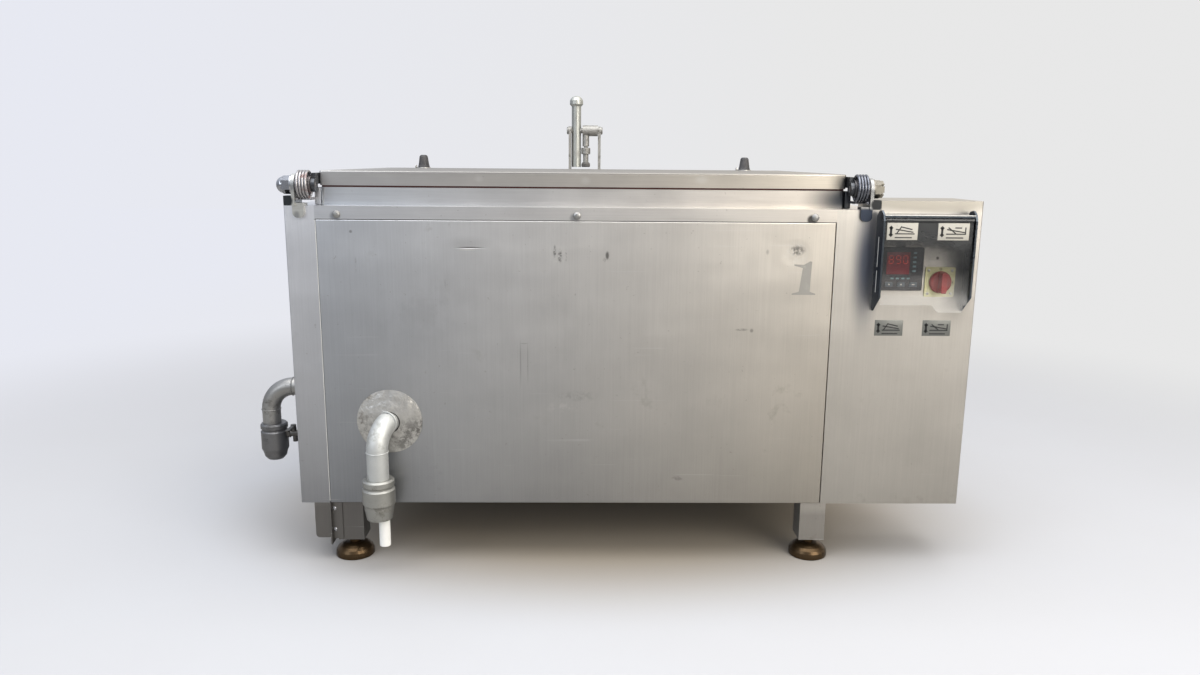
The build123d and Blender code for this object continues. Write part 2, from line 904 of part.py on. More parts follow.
def build_lid_grips():
    """Two conical grips near the lid's rear edge."""
    y = lid_front + lid_width - grip_edge_distance
    outline = [
        (0, 0),
        (grip_base_radius, 0),
        (grip_base_radius, 4),
        (grip_base_radius - 1.5, 9),
        (grip_top_radius, grip_height - 5),
        (grip_top_radius - 2.5, grip_height - 1.2),
        (grip_top_radius - 6, grip_height),
        (0, grip_height),
    ]
    grips = [turned(outline, (kettle_middle + s * grip_spread / 2, y, lid_top), (0, 0, 1)) for s in (-1, 1)]
    return group(grips)


save(build_lid_shell(), "lid_shell")
save(build_lid_liner(), "lid_liner")
save(build_gasket(), "lid_gasket")
save(build_lid_arms(), "lid_arms")
save(build_lid_grips(), "lid_grips")

# ---------------------------------------------------------------- hinges

drum_left = bracket_inset + bracket_thickness
drum_right = lid_left - arm_thickness - 1


def build_hinge_brackets():
    """Upright hinge plates on the deck, each with a foot turned in over the front strip."""
    outline = [
        (-bracket_foot_width / 2, housing_top),
        (hinge_depth + bracket_head_radius + bracket_foot_thickness, housing_top),
        (hinge_depth + bracket_head_radius, hinge_height),
        (hinge_depth - bracket_head_radius, hinge_height),
        (-bracket_foot_width / 2, housing_top + bracket_foot_width / 2),
    ]
    plate = plate_across(outline, bracket_inset, bracket_thickness)
    head_radius = bracket_head_radius
    plate = plate + disc_across(bracket_inset, hinge_depth, hinge_height, head_radius, bracket_thickness)
    right = bracket_inset + bracket_thickness + bracket_foot_width
    shelf_top = housing_top + bracket_foot_thickness
    front = -bracket_foot_thickness
    foot = block(bracket_inset, right, front, 0, housing_top - bracket_foot_drop, shelf_top)
    low_edges = foot.edges().filter_by(Axis.Y).sort_by(Axis.Z)[:2]
    foot = fillet(low_edges, 0.45 * (right - bracket_inset))
    shelf = block(bracket_inset, right, front, bracket_shelf, housing_top, shelf_top)
    block_top = hinge_height - washer_radius - hole_clearance
    bearing = block(hole_clearance, bracket_inset, 0, bearing_block_depth, housing_top, block_top)
    plate = plate + foot + shelf + bearing
    bore = disc_across(bracket_inset - 1, hinge_depth, hinge_height, journal_radius, bracket_thickness + 2)
    plate = plate - bore
    return group([plate, mirrored(plate)])


def build_stub_axles():
    """Stub axles with a drum for the spring, a journal for the lid's arm and a threaded end."""
    start = bracket_inset - thread_length
    end = lid_left - 1
    outline = [
        (0, 0),
        (journal_radius - 1, 0),
        (journal_radius, 1),
        (journal_radius, drum_left - start),
        (drum_radius, drum_left - start),
        (drum_radius, drum_right - start),
        (journal_radius, drum_right - start),
        (journal_radius, end - start),
        (0, end - start),
    ]
    axle = turned(outline, (start, hinge_depth, hinge_height), (1, 0, 0))
    return group([axle, mirrored(axle)])


def build_spring():
    """A left torsion spring: a coil round the drum, a leg to the bracket, a leg under the arm."""
    length = spring_turns * spring_pitch
    first = (drum_left + drum_right) / 2 - length / 2
    helix = Helix(spring_pitch, length, spring_radius, center=(0, 0, 0), direction=(0, 0, 1))
    to_axis = Plane(origin=(first, hinge_depth, hinge_height), x_dir=(0, 0, -1), z_dir=(1, 0, 0))
    path = to_axis * helix
    start = path @ 0
    section = Plane(origin=start, z_dir=path % 0) * Circle(spring_wire / 2)
    coil = sweep(section, path=path, is_frenet=True)
    way = Vector(0, (path % 0).Y, 0)
    rear_leg = rod(path @ 1, way, spring_wire / 2, spring_radius)
    front_leg = rod(start, -way, spring_wire / 2, spring_front_leg)
    return coil + rear_leg + front_leg


def build_cap_nut():
    """The domed nut that closes the left axle's end, with its washer."""
    face = bracket_inset - nut_washer
    body = hexagon_across(face - nut_width, hinge_depth, hinge_height, nut_radius, nut_width)
    shoulder = 3
    barrel = [
        (0, 0),
        (nut_radius + 1, 0),
        (nut_radius + 1, nut_width - shoulder),
        (nut_radius - shoulder, nut_width),
        (0, nut_width),
    ]
    body = body & turned(barrel, (face, hinge_depth, hinge_height), (-1, 0, 0))
    dome_outline = [(0, 0)]
    for step in range(7):
        angle = radians(15 * step)
        dome_outline.append(((nut_radius - 2) * cos(angle), nut_dome * sin(angle)))
    dome_start = face - nut_width + 3
    dome = turned(dome_outline, (dome_start, hinge_depth, hinge_height), (-1, 0, 0))
    nut = body + dome + disc_across(face, hinge_depth, hinge_height, washer_radius, nut_washer)
    thread_start = bracket_inset - thread_length
    return nut - disc_across(thread_start, hinge_depth, hinge_height, journal_radius, thread_length)


def build_castle_nut():
    """The slotted nut on the right axle end, with its washer."""
    start = housing_length - bracket_inset
    face = start + nut_washer
    washer = disc_across(start, hinge_depth, hinge_height, washer_radius, nut_washer)
    nut = hexagon_across(face, hinge_depth, hinge_height, nut_radius, nut_width)
    for turn_angle in (0, 60, 120):
        slot = Box(2 * castle_slot_depth, castle_slot_width, 3 * nut_radius)
        slot = Pos(face + nut_width, hinge_depth, hinge_height) * Rot(turn_angle, 0, 0) * slot
        nut = nut - slot
    bore_length = nut_washer + nut_width + 2
    return nut + washer - disc_across(start - 1, hinge_depth, hinge_height, journal_radius, bore_length)


spring = build_spring()
save(build_hinge_brackets(), "hinge_brackets")
save(build_stub_axles(), "stub_axles")
save(spring, "torsion_spring_left")
save(mirrored(spring), "torsion_spring_right")
save(build_cap_nut(), "cap_nut")
save(build_castle_nut(), "castle_nut")

# ---------------------------------------------------------------- lid clamp

clamp_inner = clamp_half_width - standard_thickness
spindle_place = kettle_middle + spindle_offset


def build_clamp_standards():
    """Two upright plates on a base behind the lid, bored for the cross shaft."""
    foot_top = housing_top + clamp_base_thickness
    front = clamp_depth - standard_half_width
    outline = [
        (front, foot_top),
        (front + standard_base_width, foot_top),
        (front + standard_base_width, foot_top + standard_toe),
        (clamp_depth + standard_half_width, foot_top + standard_flare),
        (clamp_depth + standard_half_width, clamp_height),
        (front, clamp_height),
    ]
    x_low = kettle_middle - clamp_half_width
    plate = plate_across(outline, x_low, standard_thickness)
    plate = plate + disc_across(x_low, clamp_depth, clamp_height, standard_half_width, standard_thickness)
    bore_radius = journal_radius + running_clearance
    bore = disc_across(x_low - 1, clamp_depth, clamp_height, bore_radius, standard_thickness + 2)
    plate = plate - bore
    base = block(
        x_low - clamp_base_border,
        kettle_middle + clamp_half_width + clamp_base_border,
        front,
        front + standard_base_width,
        housing_top,
        foot_top,
    )
    return base + plate + mirrored(plate)


def build_clamp_shaft():
    """The cross shaft with a head outside each standard and a welded bush and guide sleeve."""
    head = shaft_head
    outer = clamp_half_width + shaft_play
    start = kettle_middle - outer - head
    outline = [
        (0, 0),
        (shaft_head_radius - 2, 0),
        (shaft_head_radius, 2),
        (shaft_head_radius, head),
        (journal_radius, head),
        (journal_radius, head + 2 * outer),
        (shaft_head_radius, head + 2 * outer),
        (shaft_head_radius, 2 * head + 2 * outer - 2),
        (shaft_head_radius - 2, 2 * head + 2 * outer),
        (0, 2 * head + 2 * outer),
    ]
    shaft = turned(outline, (start, clamp_depth, clamp_height), (1, 0, 0))
    bush_left = spindle_place - sleeve_radius
    bush_end = kettle_middle + clamp_inner - 1
    bush = disc_across(bush_left, clamp_depth, clamp_height, bush_radius, bush_end - bush_left)
    centre = (spindle_place, clamp_depth, clamp_height)
    sleeve = rod(centre, (0, 0, -1), sleeve_radius, sleeve_length)
    bore_top = (spindle_place, clamp_depth, clamp_height - bush_radius + 3)
    bore = rod(bore_top, (0, 0, -1), spindle_radius + running_clearance, sleeve_length)
    return shaft + bush + sleeve - bore


def build_clamp_handle():
    """The handle tube, cross-bored for the shaft, with its domed cap."""
    x = kettle_middle - handle_offset
    start = (x, clamp_depth, clamp_height - handle_down)
    tube = pipe(start, (0, 0, 1), handle_radius, handle_wall, handle_down + handle_up)
    start = x - handle_radius - 1
    bore = disc_across(start, clamp_depth, clamp_height, journal_radius, 2 * handle_radius + 2)
    outline = [(0, 0), (handle_radius + 1, 0), (cap_radius - 2, cap_skirt / 4), (cap_radius, cap_skirt / 2)]
    for step in range(1, 7):
        angle = radians(15 * step)
        outline.append((cap_radius * cos(angle), cap_skirt + (cap_height - cap_skirt) * sin(angle)))
    cap = turned(outline, (x, clamp_depth, clamp_height + handle_up), (0, 0, 1))
    return tube - bore + cap


def build_press_spindle():
    """The press spindle with its collar nut."""
    top = clamp_height - bush_radius
    bottom = clamp_height - handle_down + press_foot_height
    collar_top = clamp_height - sleeve_length - collar_gap
    outline = [
        (0, 0),
        (spindle_radius, 0),
        (spindle_radius, top - collar_top),
        (collar_radius - 1.5, top - collar_top),
        (collar_radius, top - collar_top + 1.5),
        (collar_radius, top - collar_top + collar_height - 1.5),
        (collar_radius - 1.5, top - collar_top + collar_height),
        (spindle_tip, top - collar_top + collar_height),
        (spindle_tip, top - bottom),
        (0, top - bottom),
    ]
    return turned(outline, (spindle_place, clamp_depth, top), (0, 0, -1))


def build_press_foot():
    """The rubber foot under the spindle."""
    outline = [
        (0, 0),
        (press_foot_radius - 2, 0),
        (press_foot_radius, 2),
        (press_foot_radius, press_foot_height - 5),
        (press_foot_radius - 3, press_foot_height),
        (0, press_foot_height),
    ]
    return turned(outline, (spindle_place, clamp_depth, clamp_height - handle_down), (0, 0, 1))


save(build_clamp_standards(), "clamp_standards")
save(build_clamp_shaft(), "clamp_shaft")
save(build_clamp_handle(), "clamp_handle")
save(build_press_spindle(), "press_spindle")
save(build_press_foot(), "press_foot")

# ---------------------------------------------------------------- drain

drain_way = Vector(-sin(turn), -cos(turn), 0)
drain_start = Vector(drain_place, 0, drain_height)
drain_axis = drain_start + drain_way * drain_bend_radius
drain_bend_end = drain_height - drain_bend_radius
coupling_top = drain_bend_end - drain_leg_length + coupling_overlap


def bend(start, way, radius, wall, bend_radius):
    """A pipe bend that turns from a level way straight down."""
    end = start + way * bend_radius - Vector(0, 0, bend_radius)
    eighth = radians(45)
    middle = start + way * bend_radius * sin(eighth) - Vector(0, 0, bend_radius * (1 - cos(eighth)))
    path = ThreePointArc(start, middle, end)
    ring = Plane(origin=start, z_dir=way) * (Circle(radius) - Circle(radius - wall))
    return sweep(ring, path=path)


def build_drain_pipe():
    """The pipe from the vessel's front wall through the jacket and the front panel."""
    inner = drain_line(drain_pipe_radius - drain_pipe_wall, -1, vessel_front + 1)
    return drain_line(drain_pipe_radius, 0, vessel_front) - vessel_outside - inner


def build_drain_flange():
    """The dished rosette that covers the pipe's hole in the front panel."""
    bore = drain_pipe_radius + hole_clearance
    border = drain_flange_radius - bore
    outline = [
        (bore, 0),
        (drain_flange_radius, 0),
        (drain_flange_radius, drain_flange_edge),
        (bore + 0.7 * border, 0.6 * drain_flange_crown),
        (bore + 0.3 * border, drain_flange_crown),
        (bore, drain_flange_crown + drain_flange_edge),
    ]
    return turned(outline, (drain_place, 0, drain_height), (0, -1, 0))


def build_drain_bend():
    """The bend that turns the drain down in front of the panel."""
    elbow = bend(drain_start, drain_way, drain_pipe_radius, drain_pipe_wall, drain_bend_radius)
    start = drain_axis - Vector(0, 0, drain_bend_radius)
    leg = pipe(start, (0, 0, -1), drain_pipe_radius, drain_pipe_wall, drain_leg_length)
    behind = block(0, 2 * drain_place, 0, vessel_front_room, 0, 2 * drain_height)
    return (elbow + leg) - behind


def build_drain_coupling():
    """The pipe coupling with its collar ring, barrel and narrowed mouth."""
    bore = drain_pipe_radius
    mouth = coupling_radius - coupling_mouth
    ring = coupling_radius - 4
    outline = [
        (bore, 0),
        (ring - 1, 0),
        (ring + 3, coupling_height * 0.04),
        (ring + 3, coupling_height * 0.15),
        (ring, coupling_height * 0.19),
        (ring, coupling_height * 0.22),
        (coupling_radius, coupling_height * 0.26),
        (coupling_radius, coupling_height * 0.6),
        (ring + 1, coupling_height * 0.66),
        (ring, coupling_height * 0.77),
        (ring - 4, coupling_height),
        (mouth, coupling_height),
        (mouth, coupling_neck),
        (bore, coupling_neck),
    ]
    top = Vector(drain_axis.X, drain_axis.Y, coupling_top)
    return turned(outline, top, (0, 0, -1))


def build_spout():
    """The white plastic tube with the plug that holds it in the coupling's mouth."""
    rest = coupling_top - coupling_height
    mouth = coupling_radius - coupling_mouth
    plug_bottom = rest + spout_seat
    plug = rod((drain_axis.X, drain_axis.Y, plug_bottom), (0, 0, 1), mouth, spout_plug)
    start = (drain_axis.X + spout_offset, drain_axis.Y, plug_bottom + spout_plug)
    length = spout_reach + spout_seat + spout_plug
    spout = plug + rod(start, (0, 0, -1), spout_radius, length)
    low = spout.edges().filter_by(GeomType.CIRCLE).group_by(Axis.Z)[0]
    spout = fillet(low, spout_wall * 0.8)
    return spout - rod(start, (0, 0, -1), spout_radius - spout_wall, length)


save(build_drain_pipe(), "drain_pipe")
save(build_drain_flange(), "drain_flange")
save(build_drain_bend(), "drain_bend")
save(build_drain_coupling(), "drain_coupling")
save(build_spout(), "drain_spout")

# ---------------------------------------------------------------- condensate outlet

outlet_elbow_start = Vector(-outlet_reach + outlet_bend_radius, outlet_depth, outlet_height)
trap_top = outlet_height - outlet_bend_radius - outlet_leg_length


def build_outlet_pipe():
    """The pipe from the jacket's end wall, out through the left panel and down."""
    run = jacket_start - outlet_elbow_start.X
    line = pipe(outlet_elbow_start, (1, 0, 0), outlet_pipe_radius, outlet_pipe_wall, run)
    line = line - jacket_outside
    way = Vector(-1, 0, 0)
    elbow = bend(outlet_elbow_start, way, outlet_pipe_radius, outlet_pipe_wall, outlet_bend_radius)
    start = (-outlet_reach, outlet_depth, outlet_height - outlet_bend_radius)
    leg = pipe(start, (0, 0, -1), outlet_pipe_radius, outlet_pipe_wall, outlet_leg_length)
    return line + elbow + leg


cock_start = trap_axis + trap_radius
cock_height = trap_top - cock_drop
gland_x = cock_start + (cock_body_length + cock_hexagon) / 2 - cock_body_radius / 4


def build_trap():
    """The condensate trap: collar ring, barrel, rounded lower cap."""
    mouth = outlet_pipe_radius - outlet_pipe_wall - trap_offset
    outline = [
        (0, trap_inlet),
        (mouth, trap_inlet),
        (mouth, 0),
        (trap_radius - 3, 0),
        (trap_radius, trap_height * 0.04),
        (trap_radius, trap_height * 0.13),
        (trap_radius - 2.5, trap_height * 0.16),
        (trap_radius - 2.5, trap_height * 0.19),
        (trap_radius, trap_height * 0.22),
        (trap_radius, trap_height * 0.68),
        (trap_radius - 4, trap_height * 0.78),
        (trap_radius - 6, trap_height * 0.88),
        (trap_radius - 13, trap_height * 0.97),
        (0, trap_height),
    ]
    trap = turned(outline, (trap_axis, outlet_depth, trap_top), (0, 0, -1))
    seat = rod(
        (cock_start - cock_seat_depth, outlet_depth, cock_height),
        (1, 0, 0),
        cock_body_radius,
        2 * cock_seat_depth,
    )
    return trap - seat


def build_cock_body():
    """The small cock screwed into the trap's side, with its down-turned nose."""
    body = rod(
        (cock_start - cock_seat_depth, outlet_depth, cock_height),
        (1, 0, 0),
        cock_body_radius,
        cock_seat_depth + cock_body_length,
    )
    seat = hexagon_across(cock_start, outlet_depth, cock_height, cock_body_radius + 3, cock_hexagon)
    nose_x = cock_start + cock_body_length - cock_body_radius
    nose = rod((nose_x, outlet_depth, cock_height), (0, 0, -1), cock_body_radius - 2, cock_nose_length)
    gland = rod((gland_x, outlet_depth, cock_height), (0, 0, 1), cock_body_radius - 1, cock_gland_height)
    cock = body + seat + nose + gland
    bore_start = (nose_x, outlet_depth, cock_height - cock_body_radius)
    return cock - rod(bore_start, (0, 0, -1), cock_bore_radius, cock_nose_length)


def build_cock_lever():
    """The cock's lever, on a hub that turns above the gland."""
    low = cock_height + cock_gland_height + cock_gap
    hub = rod((gland_x, outlet_depth, low), (0, 0, 1), cock_hub_radius, cock_hub_height)
    half = cock_lever_width / 2
    end = outlet_depth - cock_lever_length
    arm_low = low + cock_hub_height / 2
    arm_high = arm_low + cock_lever_thickness
    arm = block(gland_x - half, gland_x + half, end, outlet_depth, arm_low, arm_high)
    tip = rod((gland_x, end, arm_low), (0, 0, 1), cock_tip_radius, cock_lever_thickness)
    return hub + arm + tip


save(build_outlet_pipe(), "condensate_pipe")
save(build_trap(), "condensate_trap")
save(build_cock_body(), "drain_cock_body")
save(build_cock_lever(), "drain_cock_lever")

# ---------------------------------------------------------------- steam supply and relief

valve_start = housing_length + supply_stub
valve_end = valve_start + supply_valve_length


def build_supply_pipe():
    """The steam pipe from the jacket to the valve, and the threaded end beyond it."""
    pipes = []
    for start, length in ((jacket_end, valve_start - jacket_end), (valve_end, supply_end_length)):
        point = (start, supply_depth, supply_height)
        pipes.append(pipe(point, (1, 0, 0), supply_pipe_radius, supply_pipe_wall, length))
    return group(pipes)


def build_supply_valve():
    """The steam valve's brass body with hexagon ends and a bonnet."""
    centre = (valve_start + valve_end) / 2
    middle = (centre, supply_depth, supply_height)
    hexagon = supply_pipe_radius + valve_hexagon_border
    last = valve_end - valve_hexagon_width
    body = hexagon_across(valve_start, supply_depth, supply_height, hexagon, valve_hexagon_width)
    body = body + hexagon_across(last, supply_depth, supply_height, hexagon, valve_hexagon_width)
    barrel = supply_pipe_radius + supply_pipe_wall
    body = body + disc_across(valve_start, supply_depth, supply_height, barrel, supply_valve_length)
    body = body + Pos(*middle) * Sphere(hexagon + 1)
    body = body + rod(middle, (0, 0, 1), valve_bonnet_radius, valve_bonnet_height)
    bore_radius = supply_pipe_radius - supply_pipe_wall
    bore = disc_across(valve_start - 1, supply_depth, supply_height, bore_radius, supply_valve_length + 2)
    return body - bore


def build_valve_coil():
    """The magnet coil on the valve's bonnet, with its cable socket and nut."""
    centre = (valve_start + valve_end) / 2
    low = supply_height + valve_bonnet_height
    half = socket_width / 2
    coil = rod((centre, supply_depth, low), (0, 0, 1), coil_radius, coil_height)
    socket_back = supply_depth + coil_radius + socket_reach
    socket_base = low + socket_low
    socket_top = socket_base + socket_height
    socket = block(centre - half, centre + half, supply_depth, socket_back, socket_base, socket_top)
    top = Pos(centre, supply_depth, low + coil_height)
    nut = extrude(top * RegularPolygon(coil_nut_radius, 6), coil_nut_height)
    return coil + socket + nut


def build_relief_valve():
    """The jacket's safety valve on its bend, with bonnet and cap."""
    corner = Vector(housing_length + relief_reach - relief_bend_radius, relief_depth, relief_height)
    start = (jacket_end, relief_depth, relief_height)
    run = corner.X - jacket_end
    line = pipe(start, (1, 0, 0), relief_pipe_radius, relief_pipe_wall, run)
    top = corner + Vector(relief_bend_radius, 0, relief_bend_radius)
    eighth = radians(45)
    middle = corner + Vector(sin(eighth), 0, 1 - cos(eighth)) * relief_bend_radius
    bore = relief_pipe_radius - relief_pipe_wall
    ring = Plane(origin=corner, z_dir=(1, 0, 0)) * (Circle(relief_pipe_radius) - Circle(bore))
    elbow = sweep(ring, path=ThreePointArc(corner, middle, top))
    base = relief_pipe_radius + 6
    barrel = relief_pipe_radius + 11
    outline = [
        (0, relief_seat),
        (bore, relief_seat),
        (bore, 0),
        (base, 0),
        (base, relief_valve_height * 0.12),
        (barrel, relief_valve_height * 0.17),
        (barrel, relief_valve_height * 0.34),
        (base - 1, relief_valve_height * 0.41),
        (base - 1, relief_valve_height * 0.71),
        (base + 2, relief_valve_height * 0.75),
        (base + 2, relief_valve_height * 0.86),
        (relief_pipe_radius, relief_valve_height),
        (0, relief_valve_height),
    ]
    valve = turned(outline, top, (0, 0, 1))
    return line + elbow + valve


def build_probe():
    """The temperature probe through the vessel's end wall, with its head in the cabinet."""
    inside = kettle_middle + vessel_length / 2 - probe_reach
    head = housing_length + probe_head_gap
    stem = disc_across(inside, probe_depth, probe_height, probe_radius, head - inside)
    return stem + disc_across(head, probe_depth, probe_height, probe_head_radius, probe_head_length)


def build_strainer():
    """The perforated lift-out strainer in front of the vessel's outlet."""
    radius = drain_pipe_radius + strainer_border
    low = vessel_floor
    high = drain_height + drain_pipe_radius + strainer_rise
    centre = Pos(drain_place, vessel_front, low)
    wall = centre * extrude(Circle(radius) - Circle(radius - vessel_wall), high - low)
    cover = centre * Pos(0, 0, high - low - vessel_wall) * extrude(Circle(radius), vessel_wall)
    cage = wall + cover
    left = drain_place - radius - 1
    right = drain_place + radius + 1
    keep = block(left, right, vessel_front, vessel_front + radius + 1, low, high)
    cage = cage & keep
    holes = []
    for row in range(strainer_rows):
        height = floor_at_drain + strainer_hole_rise + row * strainer_hole_pitch
        for angle in range(20, 161, 20):
            way = (cos(radians(angle)), sin(radians(angle)), 0)
            start = (drain_place, vessel_front, height)
            holes.append(rod(start, way, strainer_hole_radius, radius + 5))
    return (cage - (Part() + holes)) & trough(0, rim_height)


save(build_supply_pipe(), "steam_supply_pipe")
save(build_supply_valve(), "steam_valve_body")
save(build_valve_coil(), "steam_valve_coil")
save(build_relief_valve(), "jacket_safety_valve")
save(build_probe(), "temperature_probe")
save(build_strainer(), "drain_strainer")

# ---------------------------------------------------------------- control cabinet


def build_cabinet_panel():
    """The sheet right of the front panel: it runs on as the cabinet's front and right side."""
    left = housing_length - right_post
    panel = angle_sheet(overall_right, left, cabinet_depth, underside, cabinet_top_height)
    step = block(left - 1, housing_length, -1, sheet + 1, housing_top, cabinet_top_height + 1)
    panel = panel - step
    half = controller_body / 2 + hole_clearance
    x = controller_place
    z = controller_height
    cut = block(x - half, x + half, -1, sheet + 1, z - half, z + half)
    shaft_room = rod((switch_place, -1, switch_height), (0, 1, 0), switch_neck_radius, sheet + 2)
    return panel - cut - shaft_room


def build_cabinet_top():
    """The cabinet's top sheet with lips folded down at the back and the left."""
    right = overall_right - sheet
    low = cabinet_top_height - sheet
    top = block(housing_length, right, sheet, cabinet_depth, low, cabinet_top_height)
    top = relieved(top, right, sheet)
    lip_right = housing_length + sheet
    lip_back = cabinet_depth - sheet
    lip = block(housing_length, lip_right, sheet, lip_back, housing_top - sheet, cabinet_top_height)
    return top + lip


def build_cabinet_back():
    """The cabinet's rear wall and floor, folded from one sheet."""
    right = overall_right - sheet
    front = cabinet_depth - sheet
    wall = block(housing_length, right, front, cabinet_depth, underside, cabinet_top_height - sheet)
    floor = block(housing_length, right, sheet, cabinet_depth, underside, rail_bottom)
    return wall + relieved(floor, right, sheet)


gear_back = cabinet_depth - sheet - plate_gap
gear_front = gear_back - 2 * sheet


def build_mounting_plate():
    """The plate that carries the switchgear, held off the rear wall by four spacers."""
    left = housing_length + plate_border
    right = overall_right - plate_border
    low = underside + plate_low
    high = cabinet_top_height - plate_high
    plate = block(left, right, gear_front, gear_back, low, high)
    for x in (left + spacer_inset, right - spacer_inset):
        for z in (low + spacer_rise, high - spacer_rise):
            plate = plate + rod((x, gear_back, z), (0, 1, 0), spacer_radius, plate_gap)
    return plate


def gear_block(left, width, low, height, depth):
    """A block that stands on the mounting plate."""
    start = housing_length + gear_inset + left
    base = underside + low
    return block(start, start + width, gear_front - depth, gear_front, base, base + height)


def build_switchgear():
    """Contactor, relay and terminal row on the mounting plate."""
    step = contactor_step
    contactor = gear_block(0, contactor_width, gear_rise, contactor_height, contactor_depth)
    nose = gear_block(
        step,
        contactor_width - 2 * step,
        gear_rise + 3 * step,
        contactor_height - 6 * step,
        contactor_depth + contactor_nose,
    )
    relay = gear_block(relay_place, relay_width, gear_rise + step, relay_height, relay_depth)
    terminals = [
        gear_block(terminal_pitch * n, terminal_width, terminal_rise, terminal_height, terminal_depth)
        for n in range(terminal_count)
    ]
    return group([contactor + nose, relay] + terminals)


def build_controller_case():
    """The temperature controller: bezel with display recess and key pockets, body behind."""
    x = controller_place
    z = controller_height
    half = controller_size / 2
    bezel = block(x - half, x + half, -controller_bezel, 0, z - half, z + half)
    bezel = fillet(bezel.edges().filter_by(Axis.Y), 4)
    front = bezel.faces().sort_by(Axis.Y)[0]
    bezel = chamfer(front.edges(), 2)
    inner = controller_body / 2
    body = block(x - inner, x + inner, 0, controller_body_depth, z - inner, z + inner)
    case = bezel + body - display_block(display_x, display_z)
    for key_x, key_z in key_places:
        case = case - key_block(key_x, key_z, 1, key_depth, key_gap)
    return case


def display_block(x, z):
    """The shallow recess of the display window in the bezel's face."""
    half_width = display_width / 2
    half_height = display_height / 2
    front = -controller_bezel - 1
    back = -controller_bezel + display_recess
    return block(x - half_width, x + half_width, front, back, z - half_height, z + half_height)


def key_block(x, z, proud, depth, border):
    """A key's outline in the bezel, from proud of its face to a depth behind it."""
    half_width = key_width / 2 + border
    half_height = key_height / 2 + border
    front = -controller_bezel - proud
    back = -controller_bezel + depth
    return block(x - half_width, x + half_width, front, back, z - half_height, z + half_height)


def build_key(x, z):
    """One key, standing a little proud of the bezel."""
    key = key_block(x, z, key_proud, key_depth - key_play, 0)
    return fillet(key.edges().filter_by(Axis.Y), 2)


def build_switch_base():
    """The main switch's square plate, and its contact block behind the cabinet's front."""
    x = switch_place
    z = switch_height
    half = switch_plate_size / 2
    plate = block(x - half, x + half, -switch_plate_thickness, 0, z - half, z + half)
    plate = fillet(plate.edges().filter_by(Axis.Y), 4)
    inner = switch_body_size / 2
    back = sheet + switch_body_depth
    body = block(x - inner, x + inner, sheet, back, z - inner, z + inner)
    neck = rod((x, 0, z), (0, 1, 0), switch_neck_radius, sheet)
    bore_start = (x, -switch_plate_thickness, z)
    bore_length = switch_plate_thickness + sheet + switch_body_depth * switch_shaft_share + 2
    bore = rod(bore_start, (0, 1, 0), switch_shaft_radius + running_clearance, bore_length)
    return plate + body + neck - bore


def build_switch_knob():
    """The rotary knob with its raised grip bar and the shaft behind it."""
    back = -switch_plate_thickness - knob_gap
    outline = [
        (0, 0),
        (knob_radius, 0),
        (knob_radius, knob_disc / 2),
        (knob_radius - 2, knob_disc * 0.85),
        (knob_radius - 6, knob_disc),
        (0, knob_disc),
    ]
    disc = turned(outline, (switch_place, back, switch_height), (0, -1, 0))
    half = knob_bar_width / 2
    reach = knob_radius - 1.5
    x = switch_place
    z = switch_height
    bar = block(x - half, x + half, back - knob_height, back - knob_disc / 2, z - reach, z + reach)
    bar = fillet(bar.edges().filter_by(Axis.Y), 4)
    bar = fillet(bar.faces().sort_by(Axis.Y)[0].edges(), 2)
    shaft_end = sheet + switch_body_depth * switch_shaft_share
    shaft = rod((x, back, z), (0, 1, 0), switch_shaft_radius, shaft_end - back)
    return disc + bar + shaft


def build_hood():
    """The guard round the controls: two cheeks, a roof and a sill strip."""
    roof_height = hood_top - hood_roof_drop
    cheek = [
        (0, hood_bottom + 2 * hood_sheet),
        (-hood_sheet, hood_bottom),
        (-hood_reach, hood_bottom + hood_nose),
        (-hood_reach, hood_top - hood_crown),
        (-hood_reach * 0.88, hood_top - hood_crown * 0.4),
        (-hood_reach * 0.6, hood_top),
        (-hood_reach * 0.25, hood_top - hood_crown * 0.1),
        (0, hood_top - hood_crown * 0.6),
    ]
    left = plate_across(cheek, hood_left, hood_sheet)
    right = plate_across(cheek, hood_right - hood_sheet, hood_sheet)
    front = -hood_reach + hood_sheet
    slab = [
        (0, roof_height),
        (front, roof_height - hood_roof_slope / 2),
        (front, roof_height + hood_sheet - hood_roof_slope / 2),
        (0, roof_height + hood_sheet),
    ]
    roof = plate_across(slab, hood_left + hood_sheet, hood_width - 2 * hood_sheet)
    hood = left + right + roof
    hole_radius = flap_pin_radius + running_clearance
    hole = disc_across(hood_left - 1, -flap_depth, flap_hinge_height, hole_radius, hood_width + 2)
    return hood - hole


def build_flap():
    """The clear splash flap hung on two pins, with a finger tab at its lower edge."""
    left = hood_left + hood_sheet + flap_side_gap
    right = hood_right - hood_sheet - flap_side_gap
    front = -flap_depth - flap_thickness / 2
    back = front + flap_thickness
    pane = block(left, right, front, back, flap_bottom, flap_hinge_height)
    tab_right = right - flap_tab_inset
    tab_bottom = flap_bottom - flap_tab_drop
    tab = block(tab_right - flap_tab_width, tab_right, front, back, tab_bottom, flap_bottom)
    low_left, low_right = tab.edges().filter_by(Axis.Y).sort_by(Axis.Z)[:2].sort_by(Axis.X)
    tab = chamfer(low_left, flap_tab_drop * 0.8)
    low_right = tab.edges().filter_by(Axis.Y).sort_by(Axis.Z)[:2].sort_by(Axis.X)[-1]
    tab = fillet(low_right, flap_tab_drop * 0.3)
    barrel = disc_across(left, -flap_depth, flap_hinge_height, flap_barrel_radius, right - left)
    pins = disc_across(hood_left, -flap_depth, flap_hinge_height, flap_pin_radius, hood_width)
    return pane + tab + barrel + pins


